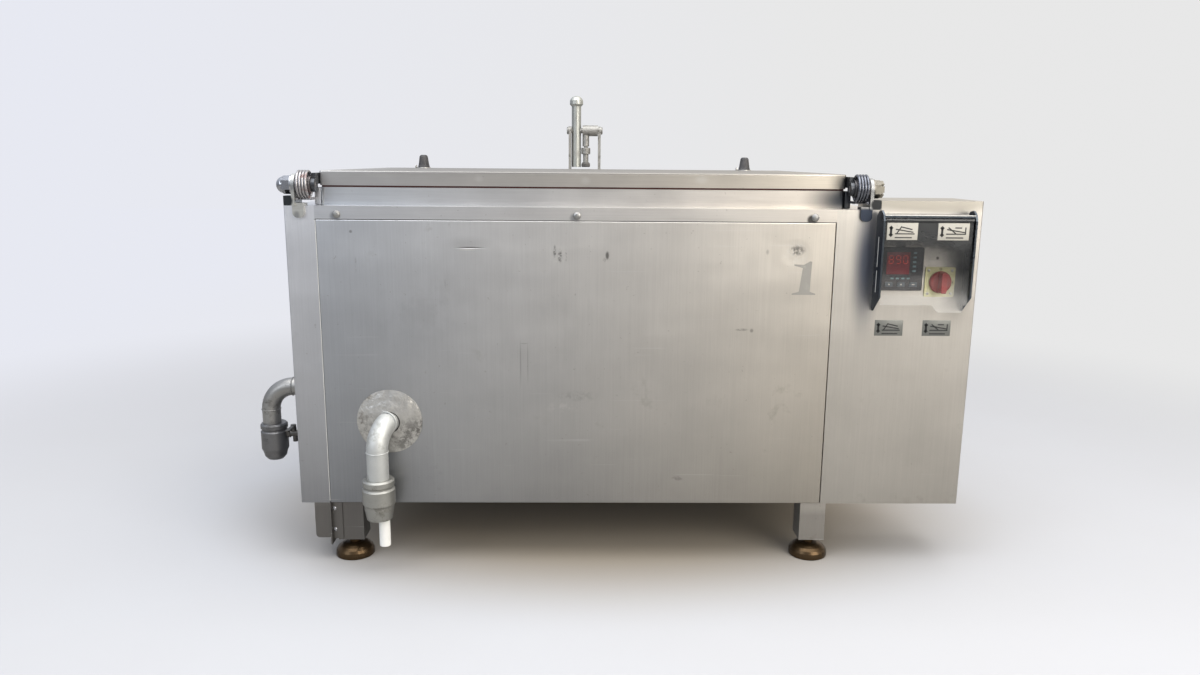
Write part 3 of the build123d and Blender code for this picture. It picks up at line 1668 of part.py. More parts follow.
save(build_cabinet_panel(), "cabinet_panel")
save(build_cabinet_top(), "cabinet_top")
save(build_cabinet_back(), "cabinet_back")
save(build_mounting_plate(), "mounting_plate")
save(build_switchgear(), "switchgear")
save(build_controller_case(), "controller_case")
for number, (x, z) in enumerate(key_places, start=1):
    save(build_key(x, z), f"controller_key_{number}")
save(build_switch_base(), "switch_base")
save(build_switch_knob(), "switch_knob")
save(build_hood(), "control_hood")
save(build_flap(), "splash_flap")
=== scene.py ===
"""Looks for a rectangular steam jacketed kettle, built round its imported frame.

Lengths in this file are millimetres from the housing's front left corner at floor level, as on
the drawing of the machine, and Drawing.at turns them into metres in the frame's own axes.
"""

import logging
import math
from dataclasses import dataclass
from enum import Enum
from typing import Optional, Sequence, Union

import bmesh
import bpy
from mathutils import Matrix, Vector


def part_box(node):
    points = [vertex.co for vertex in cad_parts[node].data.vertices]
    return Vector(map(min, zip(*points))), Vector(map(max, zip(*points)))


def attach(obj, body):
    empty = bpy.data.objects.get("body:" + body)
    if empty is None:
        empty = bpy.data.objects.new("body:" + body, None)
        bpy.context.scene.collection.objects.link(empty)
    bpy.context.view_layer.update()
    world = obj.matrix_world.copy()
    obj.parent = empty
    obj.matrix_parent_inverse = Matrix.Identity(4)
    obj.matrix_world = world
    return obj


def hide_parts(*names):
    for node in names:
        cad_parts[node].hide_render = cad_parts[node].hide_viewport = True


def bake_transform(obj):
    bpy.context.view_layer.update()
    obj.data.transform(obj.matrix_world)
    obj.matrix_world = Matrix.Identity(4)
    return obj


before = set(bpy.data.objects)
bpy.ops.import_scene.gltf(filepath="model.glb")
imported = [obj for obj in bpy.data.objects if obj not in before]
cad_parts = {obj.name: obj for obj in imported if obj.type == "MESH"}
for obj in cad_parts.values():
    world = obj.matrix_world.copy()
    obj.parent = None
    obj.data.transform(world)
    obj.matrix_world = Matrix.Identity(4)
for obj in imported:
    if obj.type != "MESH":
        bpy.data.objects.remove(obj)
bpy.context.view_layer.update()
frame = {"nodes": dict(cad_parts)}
log = logging.getLogger("kettle")

Number = Union[int, float]
Value = Union[int, float, tuple, "Wire"]
Colour = tuple[float, float, float]

MM_PER_METRE = 1000.0


# --------------------------------------------------------------------------- shader maths


class Wire:
    """An output socket that Python's operators work on."""

    def __init__(self, graph: "Graph", socket: bpy.types.NodeSocket) -> None:
        """Keep the socket and the graph that it belongs to."""
        self.graph = graph
        self.socket = socket

    def __add__(self, other: Value) -> "Wire":
        """Sum."""
        return self.graph.maths("ADD", self, other)

    def __radd__(self, other: Value) -> "Wire":
        """Sum with the number first."""
        return self.graph.maths("ADD", other, self)

    def __sub__(self, other: Value) -> "Wire":
        """Difference."""
        return self.graph.maths("SUBTRACT", self, other)

    def __rsub__(self, other: Value) -> "Wire":
        """Difference with the number first."""
        return self.graph.maths("SUBTRACT", other, self)

    def __mul__(self, other: Value) -> "Wire":
        """Product."""
        return self.graph.maths("MULTIPLY", self, other)

    def __rmul__(self, other: Value) -> "Wire":
        """Product with the number first."""
        return self.graph.maths("MULTIPLY", other, self)

    def step(self, low: Number, high: Number) -> "Wire":
        """A smooth step from 0 at low to 1 at high."""
        return self._ranged(low, high, "SMOOTHSTEP")

    def between(self, low: Number, high: Number) -> "Wire":
        """A straight rise from 0 at low to 1 at high, kept between the two."""
        return self._ranged(low, high, "LINEAR")

    def _ranged(self, low: Number, high: Number, shape: str) -> "Wire":
        """A rise from 0 at low to 1 at high.

        Args:
            low: value at which the rise starts.
            high: value at which the rise ends.
            shape: the interpolation's name.

        Returns:
            The rise, between 0 and 1.
        """
        node = self.graph.node(
            "ShaderNodeMapRange",
            {"interpolation_type": shape},
            {"Value": self, "From Min": low, "From Max": high},
        )
        return Wire(self.graph, node.outputs["Result"])

    def clipped(self) -> "Wire":
        """The value kept between 0 and 1."""
        node = self.graph.node("ShaderNodeClamp", {}, {"Value": self})
        return Wire(self.graph, node.outputs["Result"])


class Graph:
    """The node tree of one material or of the world."""

    def __init__(self, tree: bpy.types.NodeTree) -> None:
        """Start from an empty tree.

        Args:
            tree: the tree to clear and fill.
        """
        self.tree = tree
        self.tree.nodes.clear()
        self._object: Optional[Wire] = None

    def node(self, kind: str, settings: dict, inputs: dict) -> bpy.types.Node:
        """Add a node.

        Args:
            kind: the node's type name.
            settings: properties to set first.
            inputs: socket names or numbers with their values or wires.

        Returns:
            The new node.
        """
        made = self.tree.nodes.new(kind)
        for name, value in settings.items():
            setattr(made, name, value)
        for name, value in inputs.items():
            socket = made.inputs[name]
            if isinstance(value, Wire):
                self.tree.links.new(value.socket, socket)
            elif isinstance(value, tuple) and len(value) == 3 and socket.type == "RGBA":
                socket.default_value = (*value, 1.0)
            else:
                socket.default_value = value
        return made

    def maths(self, operation: str, first: Value, second: Value) -> Wire:
        """A Math node on two values."""
        made = self.node("ShaderNodeMath", {"operation": operation}, {0: first, 1: second})
        return Wire(self, made.outputs[0])

    def vector(self, operation: str, first: Value, second: Value) -> Wire:
        """A Vector Math node on two vectors."""
        made = self.node("ShaderNodeVectorMath", {"operation": operation}, {0: first, 1: second})
        return Wire(self, made.outputs[0])

    def mix(self, share: Value, first: Value, second: Value, blend: str = "MIX") -> Wire:
        """Mix two colours.

        Args:
            share: how much of the second colour, 0 to 1.
            first: colour at 0.
            second: colour at 1.
            blend: the blend mode's name.

        Returns:
            The mixed colour.
        """
        made = self.node("ShaderNodeMix", {"data_type": "RGBA", "blend_type": blend}, {})
        for index, value in ((0, share), (6, first), (7, second)):
            socket = made.inputs[index]
            if isinstance(value, Wire):
                self.tree.links.new(value.socket, socket)
            elif isinstance(value, tuple):
                socket.default_value = (*value, 1.0)
            else:
                socket.default_value = value
        return Wire(self, made.outputs[2])

    def times(self, first: Value, second: Value) -> Wire:
        """One colour multiplied by another."""
        return self.mix(1.0, first, second, "MULTIPLY")

    def grey(self, value: Wire) -> Wire:
        """The same number in all three channels of a colour."""
        made = self.node("ShaderNodeCombineColor", {}, {0: value, 1: value, 2: value})
        return Wire(self, made.outputs[0])

    def camera_ray(self) -> Wire:
        """A mask for what the camera sees directly."""
        path = self.node("ShaderNodeLightPath", {}, {})
        return Wire(self, path.outputs["Is Camera Ray"])

    def place(self) -> Wire:
        """Object coordinates, in metres.

        Returns:
            The place, made once for each tree.
        """
        if self._object is None:
            made = self.node("ShaderNodeTexCoord", {}, {})
            self._object = Wire(self, made.outputs["Object"])
        return self._object

    def axis(self, letter: str) -> Wire:
        """One coordinate of the place."""
        made = self.node("ShaderNodeSeparateXYZ", {}, {0: self.place()})
        return Wire(self, made.outputs["xyz".index(letter)])

    def stretched(self, scale: tuple, turn: tuple = (0.0, 0.0, 0.0)) -> Wire:
        """The place scaled by axis, after a turn.

        Args:
            scale: a factor for each axis.
            turn: the turn about each axis, in degrees.

        Returns:
            The new place.
        """
        made = self.node(
            "ShaderNodeMapping",
            {},
            {
                "Vector": self.place(),
                "Rotation": tuple(math.radians(angle) for angle in turn),
                "Scale": scale,
            },
        )
        return Wire(self, made.outputs[0])

    def shifted(self, way: tuple) -> Wire:
        """The place moved along, so that a second noise differs from the first."""
        return self.vector("ADD", self.place(), way)

    def noise(self, where: Wire, scale: Number, detail: Number = 3.0, rough: Number = 0.55) -> Wire:
        """Noise between 0 and 1.

        Args:
            where: the place that it is read at.
            scale: its scale.
            detail: how many finer layers it has.
            rough: how strong the finer layers are.

        Returns:
            The noise.
        """
        made = self.node(
            "ShaderNodeTexNoise", {}, {"Vector": where, "Scale": scale, "Detail": detail, "Roughness": rough}
        )
        return Wire(self, made.outputs["Fac"])

    def cells(self, where: Wire, scale: Number) -> Wire:
        """Distance to the nearest of many scattered points."""
        made = self.node("ShaderNodeTexVoronoi", {"feature": "F1"}, {"Vector": where, "Scale": scale})
        return Wire(self, made.outputs["Distance"])

    def bump(self, height: Wire, depth: Number, under: Optional[Wire] = None) -> Wire:
        """A normal that follows a height.

        Args:
            height: the height, between 0 and 1.
            depth: how deep the whole height is, in metres.
            under: a normal that this one is laid over.

        Returns:
            The normal.
        """
        inputs = {"Strength": 1.0, "Distance": depth, "Height": height}
        if under is not None:
            inputs["Normal"] = under
        made = self.node("ShaderNodeBump", {}, inputs)
        return Wire(self, made.outputs[0])

    def near(self, spot: tuple, radius: Number, edge: Number, squeeze: tuple = (1.0, 1.0, 1.0)) -> Wire:
        """A soft round mask about a spot, 1 inside.

        Args:
            spot: the centre, in metres.
            radius: the mask's radius, in metres.
            edge: the width of its soft edge, in metres.
            squeeze: scale by axis, to make it oval.

        Returns:
            The mask.
        """
        away = self.vector("SUBTRACT", self.place(), spot)
        away = self.vector("MULTIPLY", away, squeeze)
        made = self.node("ShaderNodeVectorMath", {"operation": "LENGTH"}, {0: away})
        return Wire(self, made.outputs["Value"]).step(radius + edge, radius)

    def surface(self, sockets: dict) -> None:
        """Add the Principled shader and join it to the output.

        Args:
            sockets: the shader's socket names with their values or wires.
        """
        shader = self.node("ShaderNodeBsdfPrincipled", {}, sockets)
        output = self.node("ShaderNodeOutputMaterial", {}, {})
        self.tree.links.new(shader.outputs[0], output.inputs["Surface"])


# --------------------------------------------------------------------------- finishes


COOL_TO_WARM = (-0.62, 0.50)  # metres across: where a sheet's painted light turns from its left tint to its right tint
DIRTIEST = 0.12  # metres above the floor, where a sheet's painted shade towards the bottom is full
GRAIN_DEPTH = 0.00003  # metres, for ground and cast surfaces alike
SCRATCH_DEPTH = 0.00002
SCRATCH_RUNS = ((18.0, 60.0), (-37.0, 46.0), (71.0, 52.0))  # turn in degrees, and density
NO_LIMIT = 9.0  # metres, above everything


class Grain(Enum):
    """The way that a ground finish runs, as scales by axis."""

    ALONG_X = (1.5, 160.0, 160.0)
    ALONG_Z = (160.0, 160.0, 1.5)


class Finish:
    """A finish that can make its material once and hand it out again."""

    _made: dict = {}
    name: str

    def dress(self, graph: Graph) -> None:
        """Fill the material's node tree."""
        raise NotImplementedError

    def material(self) -> bpy.types.Material:
        """The finish's material, made the first time that it is asked for.

        Returns:
            The material.
        """
        if self.name not in Finish._made:
            made = bpy.data.materials.new(self.name)
            made.use_nodes = True
            self.dress(Graph(made.node_tree))
            Finish._made[self.name] = made
        return Finish._made[self.name]


@dataclass(frozen=True)
class Smudge:
    """An oval mark on a sheet: dirt, rubbed metal, a dent with its painted shading, a painted shade or a
    painted highlight.

    It lies at x and z on the drawing and is half_wide by half_high, all in millimetres. Its edge
    is soft over that share of it; broken is the scale of the noise that eats into it, and dent
    is how far it is pushed in, in metres.
    """

    x: float
    z: float
    half_wide: float
    half_high: float
    strength: float = 0.5
    edge: float = 0.5
    broken: float = 0.0
    dent: float = 0.0
    tint: Colour = (0.10, 0.095, 0.09)

    def lay(self, graph: Graph, colour: Wire, normal: Wire) -> tuple:
        """Lay the mark over a colour and a normal.

        Args:
            graph: the material's tree.
            colour: the sheet's colour so far.
            normal: the sheet's normal so far.

        Returns:
            The colour and the normal with the mark.
        """
        spot = tuple(at(self.x, 0.0, self.z))
        radius = self.half_wide / MM_PER_METRE
        squeeze = (1.0, 0.0, self.half_wide / self.half_high)
        mask = graph.near(spot, radius * (1.0 - self.edge), radius * 2.0 * self.edge, squeeze)
        if self.dent:
            normal = graph.bump(1.0 - mask, self.dent, normal)
        if self.broken:
            mask = mask * graph.noise(graph.place(), self.broken, 4.0, 0.7).step(0.42, 0.60)
        return graph.mix(mask * self.strength, colour, self.tint), normal


@dataclass(frozen=True)
class GroundSheet(Finish):
    """Ground stainless sheet with grain, oil-canning, wipe marks and scratches, painted darker towards the
    bottom and painted with light that changes from left to right.
    """

    name: str
    tint: Colour = (0.60, 0.595, 0.585)
    roughness: float = 0.36
    grain: Grain = Grain.ALONG_Z
    wear: float = 1.0
    waviness: float = 0.0022
    # painted shade: how strongly the sheet is darkened towards the bottom, and the height in metres where
    # that darkening starts
    foot: float = 0.0
    foot_height: float = 0.55
    # painted light: colour factors for the sheet's left and right, blended across it, standing in for light
    # that differs from left to right
    cool: Colour = (1.0, 1.0, 1.0)
    warm: Colour = (1.0, 1.0, 1.0)
    smudges: tuple = ()
    matt_above: float = NO_LIMIT

    def dress(self, graph: Graph) -> None:
        """Fill the node tree of the ground sheet.

        Args:
            graph: the material's tree.
        """
        place = graph.place()
        fine = graph.noise(graph.stretched(self.grain.value), 9.0, 4.0, 0.65)
        coarse = graph.noise(graph.stretched(self.grain.value), 1.6, 3.0, 0.6)
        cloud = graph.noise(place, 2.3, 4.0, 0.6)
        blotch = graph.noise(graph.shifted((3.1, 7.7, 1.9)), 9.0, 5.0, 0.62)
        speck = graph.noise(graph.shifted((1.7, 0.4, 5.2)), 120.0, 2.0, 0.5)
        wiped = graph.noise(graph.stretched((1.2, 1.2, 5.0), (0.0, 24.0, 0.0)), 3.0, 3.0, 0.55)
        scratches = self._scratches(graph)
        tone = 0.80 + cloud * 0.24 + blotch * 0.16 + (fine - 0.5) * 0.20 + (coarse - 0.5) * 0.12
        stains = blotch.step(0.60, 0.72) * cloud.step(0.42, 0.60) * (0.30 * self.wear)
        tone = tone * (1.0 - stains)
        # painted shade: darker towards the bottom
        if self.foot:
            height = graph.axis("z") + (cloud - 0.5) * 0.10
            tone = tone * (1.0 - height.between(self.foot_height, DIRTIEST) * self.foot)
        colour = graph.times(self.tint, graph.grey(tone))
        # painted light: the colour shifts from the left factor to the right factor across the sheet
        across = (graph.axis("x") + (cloud - 0.5) * 0.20).between(*COOL_TO_WARM)
        colour = graph.times(colour, graph.mix(across, self.cool, self.warm))
        colour = graph.mix(stains * 0.5, colour, (0.42, 0.36, 0.28))
        colour = graph.mix(scratches * (0.12 * self.wear), colour, (0.80, 0.80, 0.81))
        flecks = speck.step(0.72, 0.78) * (0.30 * self.wear)
        colour = graph.mix(flecks, colour, (0.20, 0.18, 0.16))
        rough = self.roughness + (fine - 0.5) * 0.12 + (wiped - 0.5) * 0.14
        rough = rough + stains * 0.35 + (blotch - 0.5) * 0.08
        matt = graph.axis("z").step(self.matt_above, self.matt_above + 0.001)
        rough = rough + scratches * 0.06 + matt * 0.27
        height = cloud * 0.55 + graph.noise(place, 1.1, 1.0, 0.4) * 0.45
        normal = graph.bump(height, self.waviness)
        normal = graph.bump(fine * 0.7 + coarse * 0.3, GRAIN_DEPTH, normal)
        normal = graph.bump(1.0 - scratches, SCRATCH_DEPTH, normal)
        # marks laid over the sheet: dirt, wear, painted shade and painted highlights
        for smudge in self.smudges:
            colour, normal = smudge.lay(graph, colour, normal)
        graph.surface({
            "Base Color": colour,
            "Metallic": 0.93,
            "Roughness": rough.clipped(),
            "Normal": normal,
        })

    def _scratches(self, graph: Graph) -> Wire:
        """Fine stray scratches that run a few ways across the sheet.

        Args:
            graph: the material's tree.

        Returns:
            A mask, 1 on a scratch.
        """
        total: Optional[Wire] = None
        for turn, scale in SCRATCH_RUNS:
            line = graph.noise(graph.stretched((0.9, scale, scale), (turn, turn, turn)), 3.4, 2.0, 0.5)
            gaps = graph.noise(graph.stretched((6.0, 6.0, 6.0), (0.0, turn, 0.0)), 1.0, 1.0, 0.5)
            mask = line.step(0.705, 0.735) * gaps.step(0.50, 0.60)
            total = mask if total is None else graph.maths("MAXIMUM", total, mask)
        return total


@dataclass(frozen=True)
class BareMetal(Finish):
    """Turned, cast or drawn metal: colour varies softly, edges and hollows hold dirt."""

    name: str
    tint: Colour = (0.60, 0.60, 0.60)
    dirt: Colour = (0.16, 0.14, 0.11)
    roughness: float = 0.34
    dirtiness: float = 0.25
    lumps: float = 0.0006
    lump_size: float = 26.0
    metallic: float = 0.95
    spots: float = 0.0
    smudges: tuple = ()

    def dress(self, graph: Graph) -> None:
        """Fill the node tree of the bare metal.

        Args:
            graph: the material's tree.
        """
        place = graph.place()
        cloud = graph.noise(place, self.lump_size, 4.0, 0.6)
        broad = graph.noise(graph.shifted((4.0, 1.0, 2.0)), self.lump_size * 0.32, 3.0, 0.55)
        fine = graph.noise(place, self.lump_size * 14.0, 3.0, 0.6)
        tone = 0.78 + broad * 0.28 + (cloud - 0.5) * 0.24 + (fine - 0.5) * 0.12
        colour = graph.times(self.tint, graph.grey(tone))
        soil = cloud.step(0.50, 0.66) * broad.step(0.38, 0.60) * self.dirtiness
        colour = graph.mix(soil.clipped(), colour, self.dirt)
        if self.spots:
            spot = graph.cells(place, self.lump_size * 3.0).step(0.22, 0.14) * cloud.step(0.5, 0.6)
            colour = graph.mix(spot * self.spots, colour, self.dirt)
        rough = self.roughness + (broad - 0.5) * 0.20 + soil * 0.5 + (fine - 0.5) * 0.10
        normal = graph.bump(broad * 0.6 + cloud * 0.4, self.lumps)
        normal = graph.bump(fine, GRAIN_DEPTH, normal)
        # marks laid over the metal: dirt and painted shade
        for smudge in self.smudges:
            colour, normal = smudge.lay(graph, colour, normal)
        graph.surface({
            "Base Color": colour,
            "Metallic": self.metallic,
            "Roughness": rough.clipped(),
            "Normal": normal,
        })


@dataclass(frozen=True)
class Moulding(Finish):
    """Moulded plastic or rubber: fine grain, rubbed places and a film of dust."""

    name: str
    tint: Colour = (0.05, 0.05, 0.055)
    rubbed: Colour = (0.12, 0.12, 0.12)
    dust: Colour = (0.45, 0.42, 0.38)
    roughness: float = 0.45
    dustiness: float = 0.18
    grain_depth: float = 0.00004
    grain_size: float = 900.0

    def dress(self, graph: Graph) -> None:
        """Fill the node tree of the moulding.

        Args:
            graph: the material's tree.
        """
        place = graph.place()
        grain = graph.noise(place, self.grain_size, 2.0, 0.5)
        cloud = graph.noise(place, 38.0, 4.0, 0.6)
        broad = graph.noise(graph.shifted((2.0, 5.0, 1.0)), 11.0, 3.0, 0.55)
        colour = graph.mix(cloud.step(0.55, 0.75) * 0.5, self.tint, self.rubbed)
        film = broad.step(0.40, 0.70) * self.dustiness
        dusty = (film + grain.step(0.55, 0.80) * (self.dustiness * 0.4)).clipped()
        colour = graph.mix(dusty, colour, self.dust)
        rough = self.roughness + (cloud - 0.5) * 0.16 + dusty * 0.4
        normal = graph.bump(grain, self.grain_depth)
        normal = graph.bump(broad, 0.0004, normal)
        graph.surface({
            "Base Color": colour,
            "Metallic": 0.0,
            "Roughness": rough.clipped(),
            "Normal": normal,
        })


@dataclass(frozen=True)
class ClearSheet(Finish):
    """Clear plastic sheet with smears and fine scuffs, darkened towards the top with painted shade for the
    hood's shadow on the panel behind.
    """

    name: str
    tint: Colour = (0.78, 0.76, 0.72)
    mirrored: Colour = (0.030, 0.032, 0.034)
    haze: float = 0.02
    dark_low: float = 0.742
    dark_high: float = 0.775

    def dress(self, graph: Graph) -> None:
        """Fill the node tree of the clear sheet.

        Args:
            graph: the material's tree.
        """
        place = graph.place()
        smear = graph.noise(graph.stretched((6.0, 6.0, 18.0), (0.0, 35.0, 0.0)), 2.2, 4.0, 0.6)
        cloud = graph.noise(place, 14.0, 4.0, 0.6)
        scuff = graph.noise(graph.stretched((4.0, 4.0, 300.0), (0.0, 52.0, 0.0)), 2.0, 2.0, 0.5)
        # painted shade: the sheet turns dark and opaque towards the top, standing in for the hood's shadow
        # behind it
        height = graph.axis("z") + (cloud - 0.5) * 0.05 + (smear - 0.5) * 0.03
        top = height.step(self.dark_low, self.dark_high)
        dark = (top * 0.62 + height.step(0.650, 0.745) * 0.38).clipped()
        low = graph.axis("z").step(0.655, 0.635)
        alpha = self.haze + smear.step(0.50, 0.75) * 0.05 + cloud.step(0.55, 0.75) * 0.03
        alpha = alpha + scuff.step(0.68, 0.72) * 0.06 + dark * 0.86 + low * 0.12
        colour = graph.mix(cloud, self.tint, (0.66, 0.66, 0.65))
        graph.surface({
            "Base Color": graph.mix(height.step(0.645, 0.70), colour, self.mirrored),
            "Metallic": 0.0,
            "Roughness": (0.16 + smear * 0.14 + cloud * 0.10).clipped(),
            "Alpha": alpha.clipped(),
            "Normal": graph.bump(smear, 0.0003),
        })


@dataclass(frozen=True)
class Ink(Finish):
    """Printed or sprayed colour on a plate: slightly broken up and dusty."""

    name: str
    tint: Colour = (0.03, 0.03, 0.03)
    worn: Colour = (0.30, 0.29, 0.28)
    loss: float = 0.25
    roughness: float = 0.55
    size: float = 160.0
    metallic: float = 0.0

    def dress(self, graph: Graph) -> None:
        """Fill the node tree of the print.

        Args:
            graph: the material's tree.
        """
        place = graph.place()
        broken = graph.noise(place, self.size, 5.0, 0.7)
        cloud = graph.noise(place, self.size * 0.2, 3.0, 0.6)
        mask = (broken.step(0.56, 0.70) * self.loss + cloud.step(0.5, 0.8) * (self.loss * 0.6)).clipped()
        colour = graph.mix(mask, self.tint, self.worn)
        graph.surface({
            "Base Color": colour,
            "Metallic": self.metallic,
            "Roughness": (self.roughness + (cloud - 0.5) * 0.2).clipped(),
            "Normal": graph.bump(broken, 0.00004),
        })


@dataclass(frozen=True)
class Lamp(Finish):
    """A lit segment behind a dark window."""

    name: str
    tint: Colour = (0.95, 0.06, 0.03)
    power: float = 0.03

    def dress(self, graph: Graph) -> None:
        """Fill the node tree of the lit segment.

        Args:
            graph: the material's tree.
        """
        flicker = graph.noise(graph.place(), 700.0, 2.0, 0.5)
        colour = graph.mix(flicker.step(0.3, 0.7), self.tint, tuple(0.75 * part for part in self.tint))
        graph.surface({
            "Base Color": colour,
            "Roughness": 0.35,
            "Emission Color": colour,
            "Emission Strength": self.power,
            "Normal": graph.bump(flicker, 0.00001),
        })


@dataclass(frozen=True)
class Wool(Finish):
    """Mineral wool blanket of loose fibres."""

    name: str
    tint: Colour = (0.62, 0.56, 0.36)

    def dress(self, graph: Graph) -> None:
        """Fill the node tree of the wool.

        Args:
            graph: the material's tree.
        """
        fibres = graph.noise(graph.stretched((30.0, 30.0, 140.0)), 3.0, 5.0, 0.7)
        clumps = graph.noise(graph.place(), 18.0, 4.0, 0.6)
        colour = graph.mix(fibres, self.tint, (0.78, 0.72, 0.50))
        graph.surface({
            "Base Color": graph.mix(clumps.step(0.4, 0.8) * 0.4, colour, (0.38, 0.33, 0.22)),
            "Roughness": 0.95,
            "Normal": graph.bump(fibres * 0.6 + clumps * 0.4, 0.004),
        })


# --------------------------------------------------------------------------- shapes


@dataclass(frozen=True)
class Drawing:
    """Turns the drawing's millimetres into the frame's metres."""

    left: float
    front: float

    def at(self, x: Number, y: Number, z: Number) -> Vector:
        """A point of the drawing, in metres in the frame's axes."""
        return Vector((self.left + x / MM_PER_METRE, self.front + y / MM_PER_METRE, z / MM_PER_METRE))


housing_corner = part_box("left_panel")[0]
at = Drawing(housing_corner.x, housing_corner.y).at

MERGE_DISTANCE = 0.002  # millimetres
BEAD_SIDES = 8
BEAD_STEPS = 48


class Shape:
    """A mesh under construction, in the frame's metres."""

    def __init__(self) -> None:
        """Start empty."""
        self.bm = bmesh.new()

    def box(self, low: Vector, high: Vector, bevel: Number = 0.0, segments: int = 2) -> "Shape":
        """Add a block.

        Args:
            low: its lowest corner.
            high: its highest corner.
            bevel: how far its edges are rounded, in millimetres.
            segments: number of steps round each edge.

        Returns:
            This shape.
        """
        size = high - low
        matrix = Matrix.Translation((low + high) / 2) @ Matrix.Diagonal((*size, 1.0))
        made = bmesh.ops.create_cube(self.bm, size=1.0, matrix=matrix)
        if bevel:
            edges = list({edge for vert in made["verts"] for edge in vert.link_edges})
            bmesh.ops.bevel(
                self.bm,
                geom=edges,
                offset=bevel / MM_PER_METRE,
                affect="EDGES",
                segments=segments,
                profile=0.5,
                material=-1,
            )
        return self

    def rod(self, start: Vector, end: Vector, radius: Number, segments: int) -> "Shape":
        """Add a bar between two points.

        Args:
            start: the middle of one end.
            end: the middle of the other end.
            radius: from the middle to a corner, in millimetres.
            segments: number of its sides.

        Returns:
            This shape.
        """
        way = end - start
        turn = way.to_track_quat("Z", "Y").to_matrix().to_4x4()
        bmesh.ops.create_cone(
            self.bm,
            cap_ends=True,
            segments=segments,
            radius1=radius / MM_PER_METRE,
            radius2=radius / MM_PER_METRE,
            depth=way.length,
            matrix=Matrix.Translation((start + end) / 2) @ turn,
        )
        return self

    def turned(self, outline: Sequence[tuple], origin: Vector, axis: tuple, steps: int = 40) -> "Shape":
        """Add a body of revolution.

        Args:
            outline: (radius, height) pairs in millimetres, from one end of the axis to the other.
            origin: where the axis starts.
            axis: the way that the heights go.
            steps: number of steps round the axis.

        Returns:
            This shape.
        """
        way = Vector(axis).normalized()
        side = way.orthogonal().normalized()
        verts = [
            self.bm.verts.new(origin + side * (radius / MM_PER_METRE) + way * (height / MM_PER_METRE))
            for radius, height in outline
        ]
        edges = [self.bm.edges.new(pair) for pair in zip(verts, verts[1:])]
        bmesh.ops.spin(
            self.bm,
            geom=verts + edges,
            cent=origin,
            axis=way,
            angle=2 * math.pi,
            steps=steps,
            use_merge=True,
            use_duplicate=False,
        )
        return self

    def bead(self, centre: Vector, axis: tuple, radius: Number, thick: Number) -> "Shape":
        """Add a weld bead, a small ring round a pipe.

        Args:
            centre: the middle of the ring.
            axis: the pipe's way.
            radius: the ring's radius, in millimetres.
            thick: half the bead's thickness, in millimetres.

        Returns:
            This shape.
        """
        way = Vector(axis).normalized()
        side = way.orthogonal().normalized()
        turn = way.cross(side).to_track_quat("Z", "Y").to_matrix().to_4x4()
        turn = Matrix.Translation(centre + side * (radius / MM_PER_METRE)) @ turn
        made = bmesh.ops.create_circle(
            self.bm, cap_ends=False, segments=BEAD_SIDES, radius=thick / MM_PER_METRE, matrix=turn
        )
        edges = list({edge for vert in made["verts"] for edge in vert.link_edges})
        bmesh.ops.spin(
            self.bm,
            geom=made["verts"] + edges,
            cent=centre,
            axis=way,
            angle=2 * math.pi,
            steps=BEAD_STEPS,
            use_merge=True,
            use_duplicate=False,
        )
        return self.joined()

    def joined(self) -> "Shape":
        """Merge vertices that lie on each other and point the faces outwards.

        Returns:
            This shape.
        """
        bmesh.ops.remove_doubles(self.bm, verts=self.bm.verts, dist=MERGE_DISTANCE / MM_PER_METRE)
        bmesh.ops.recalc_face_normals(self.bm, faces=self.bm.faces)
        return self

    def piece(
        self, name: str, finish: Finish, body: Optional[str], slot: str, angle: Number = 40.0
    ) -> bpy.types.Object:
        """Turn the shape into an object.

        Args:
            name: the piece's name.
            finish: its finish.
            body: the body that it rides on, or None where it is left unattached.
            slot: a material slot's name; not used.
            angle: edges sharper than this many degrees stay sharp.

        Returns:
            The object.
        """
        bmesh.ops.recalc_face_normals(self.bm, faces=self.bm.faces)
        mesh = bpy.data.meshes.new(name)
        self.bm.to_mesh(mesh)
        self.bm.free()
        mesh.materials.append(finish.material())
        mesh.shade_smooth()
        mesh.set_sharp_from_angle(angle=math.radians(angle))
        made = bpy.data.objects.new(name, mesh)
        bpy.context.scene.collection.objects.link(made)
        if body is not None:
            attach(made, body)
        log.info("piece %s: %d faces", name, len(mesh.polygons))
        return made


def dress(finish: Finish, *nodes: str) -> None:
    """Give frame nodes a finish.

    Args:
        finish: the finish.
        nodes: the nodes' names.
    """
    for node in nodes:
        target = frame["nodes"][node]
        target.data.materials.clear()
        target.data.materials.append(finish.material())
        log.info("node %s: %s", node, finish.name)


# --------------------------------------------------------------------------- sub-assemblies


# LIGHT is a pale tint for rubbed metal and for painted highlights; SHADE is a bluish dark tint for painted
# shade
LIGHT = (0.78, 0.77, 0.74)
SHADE = (0.11, 0.125, 0.155)

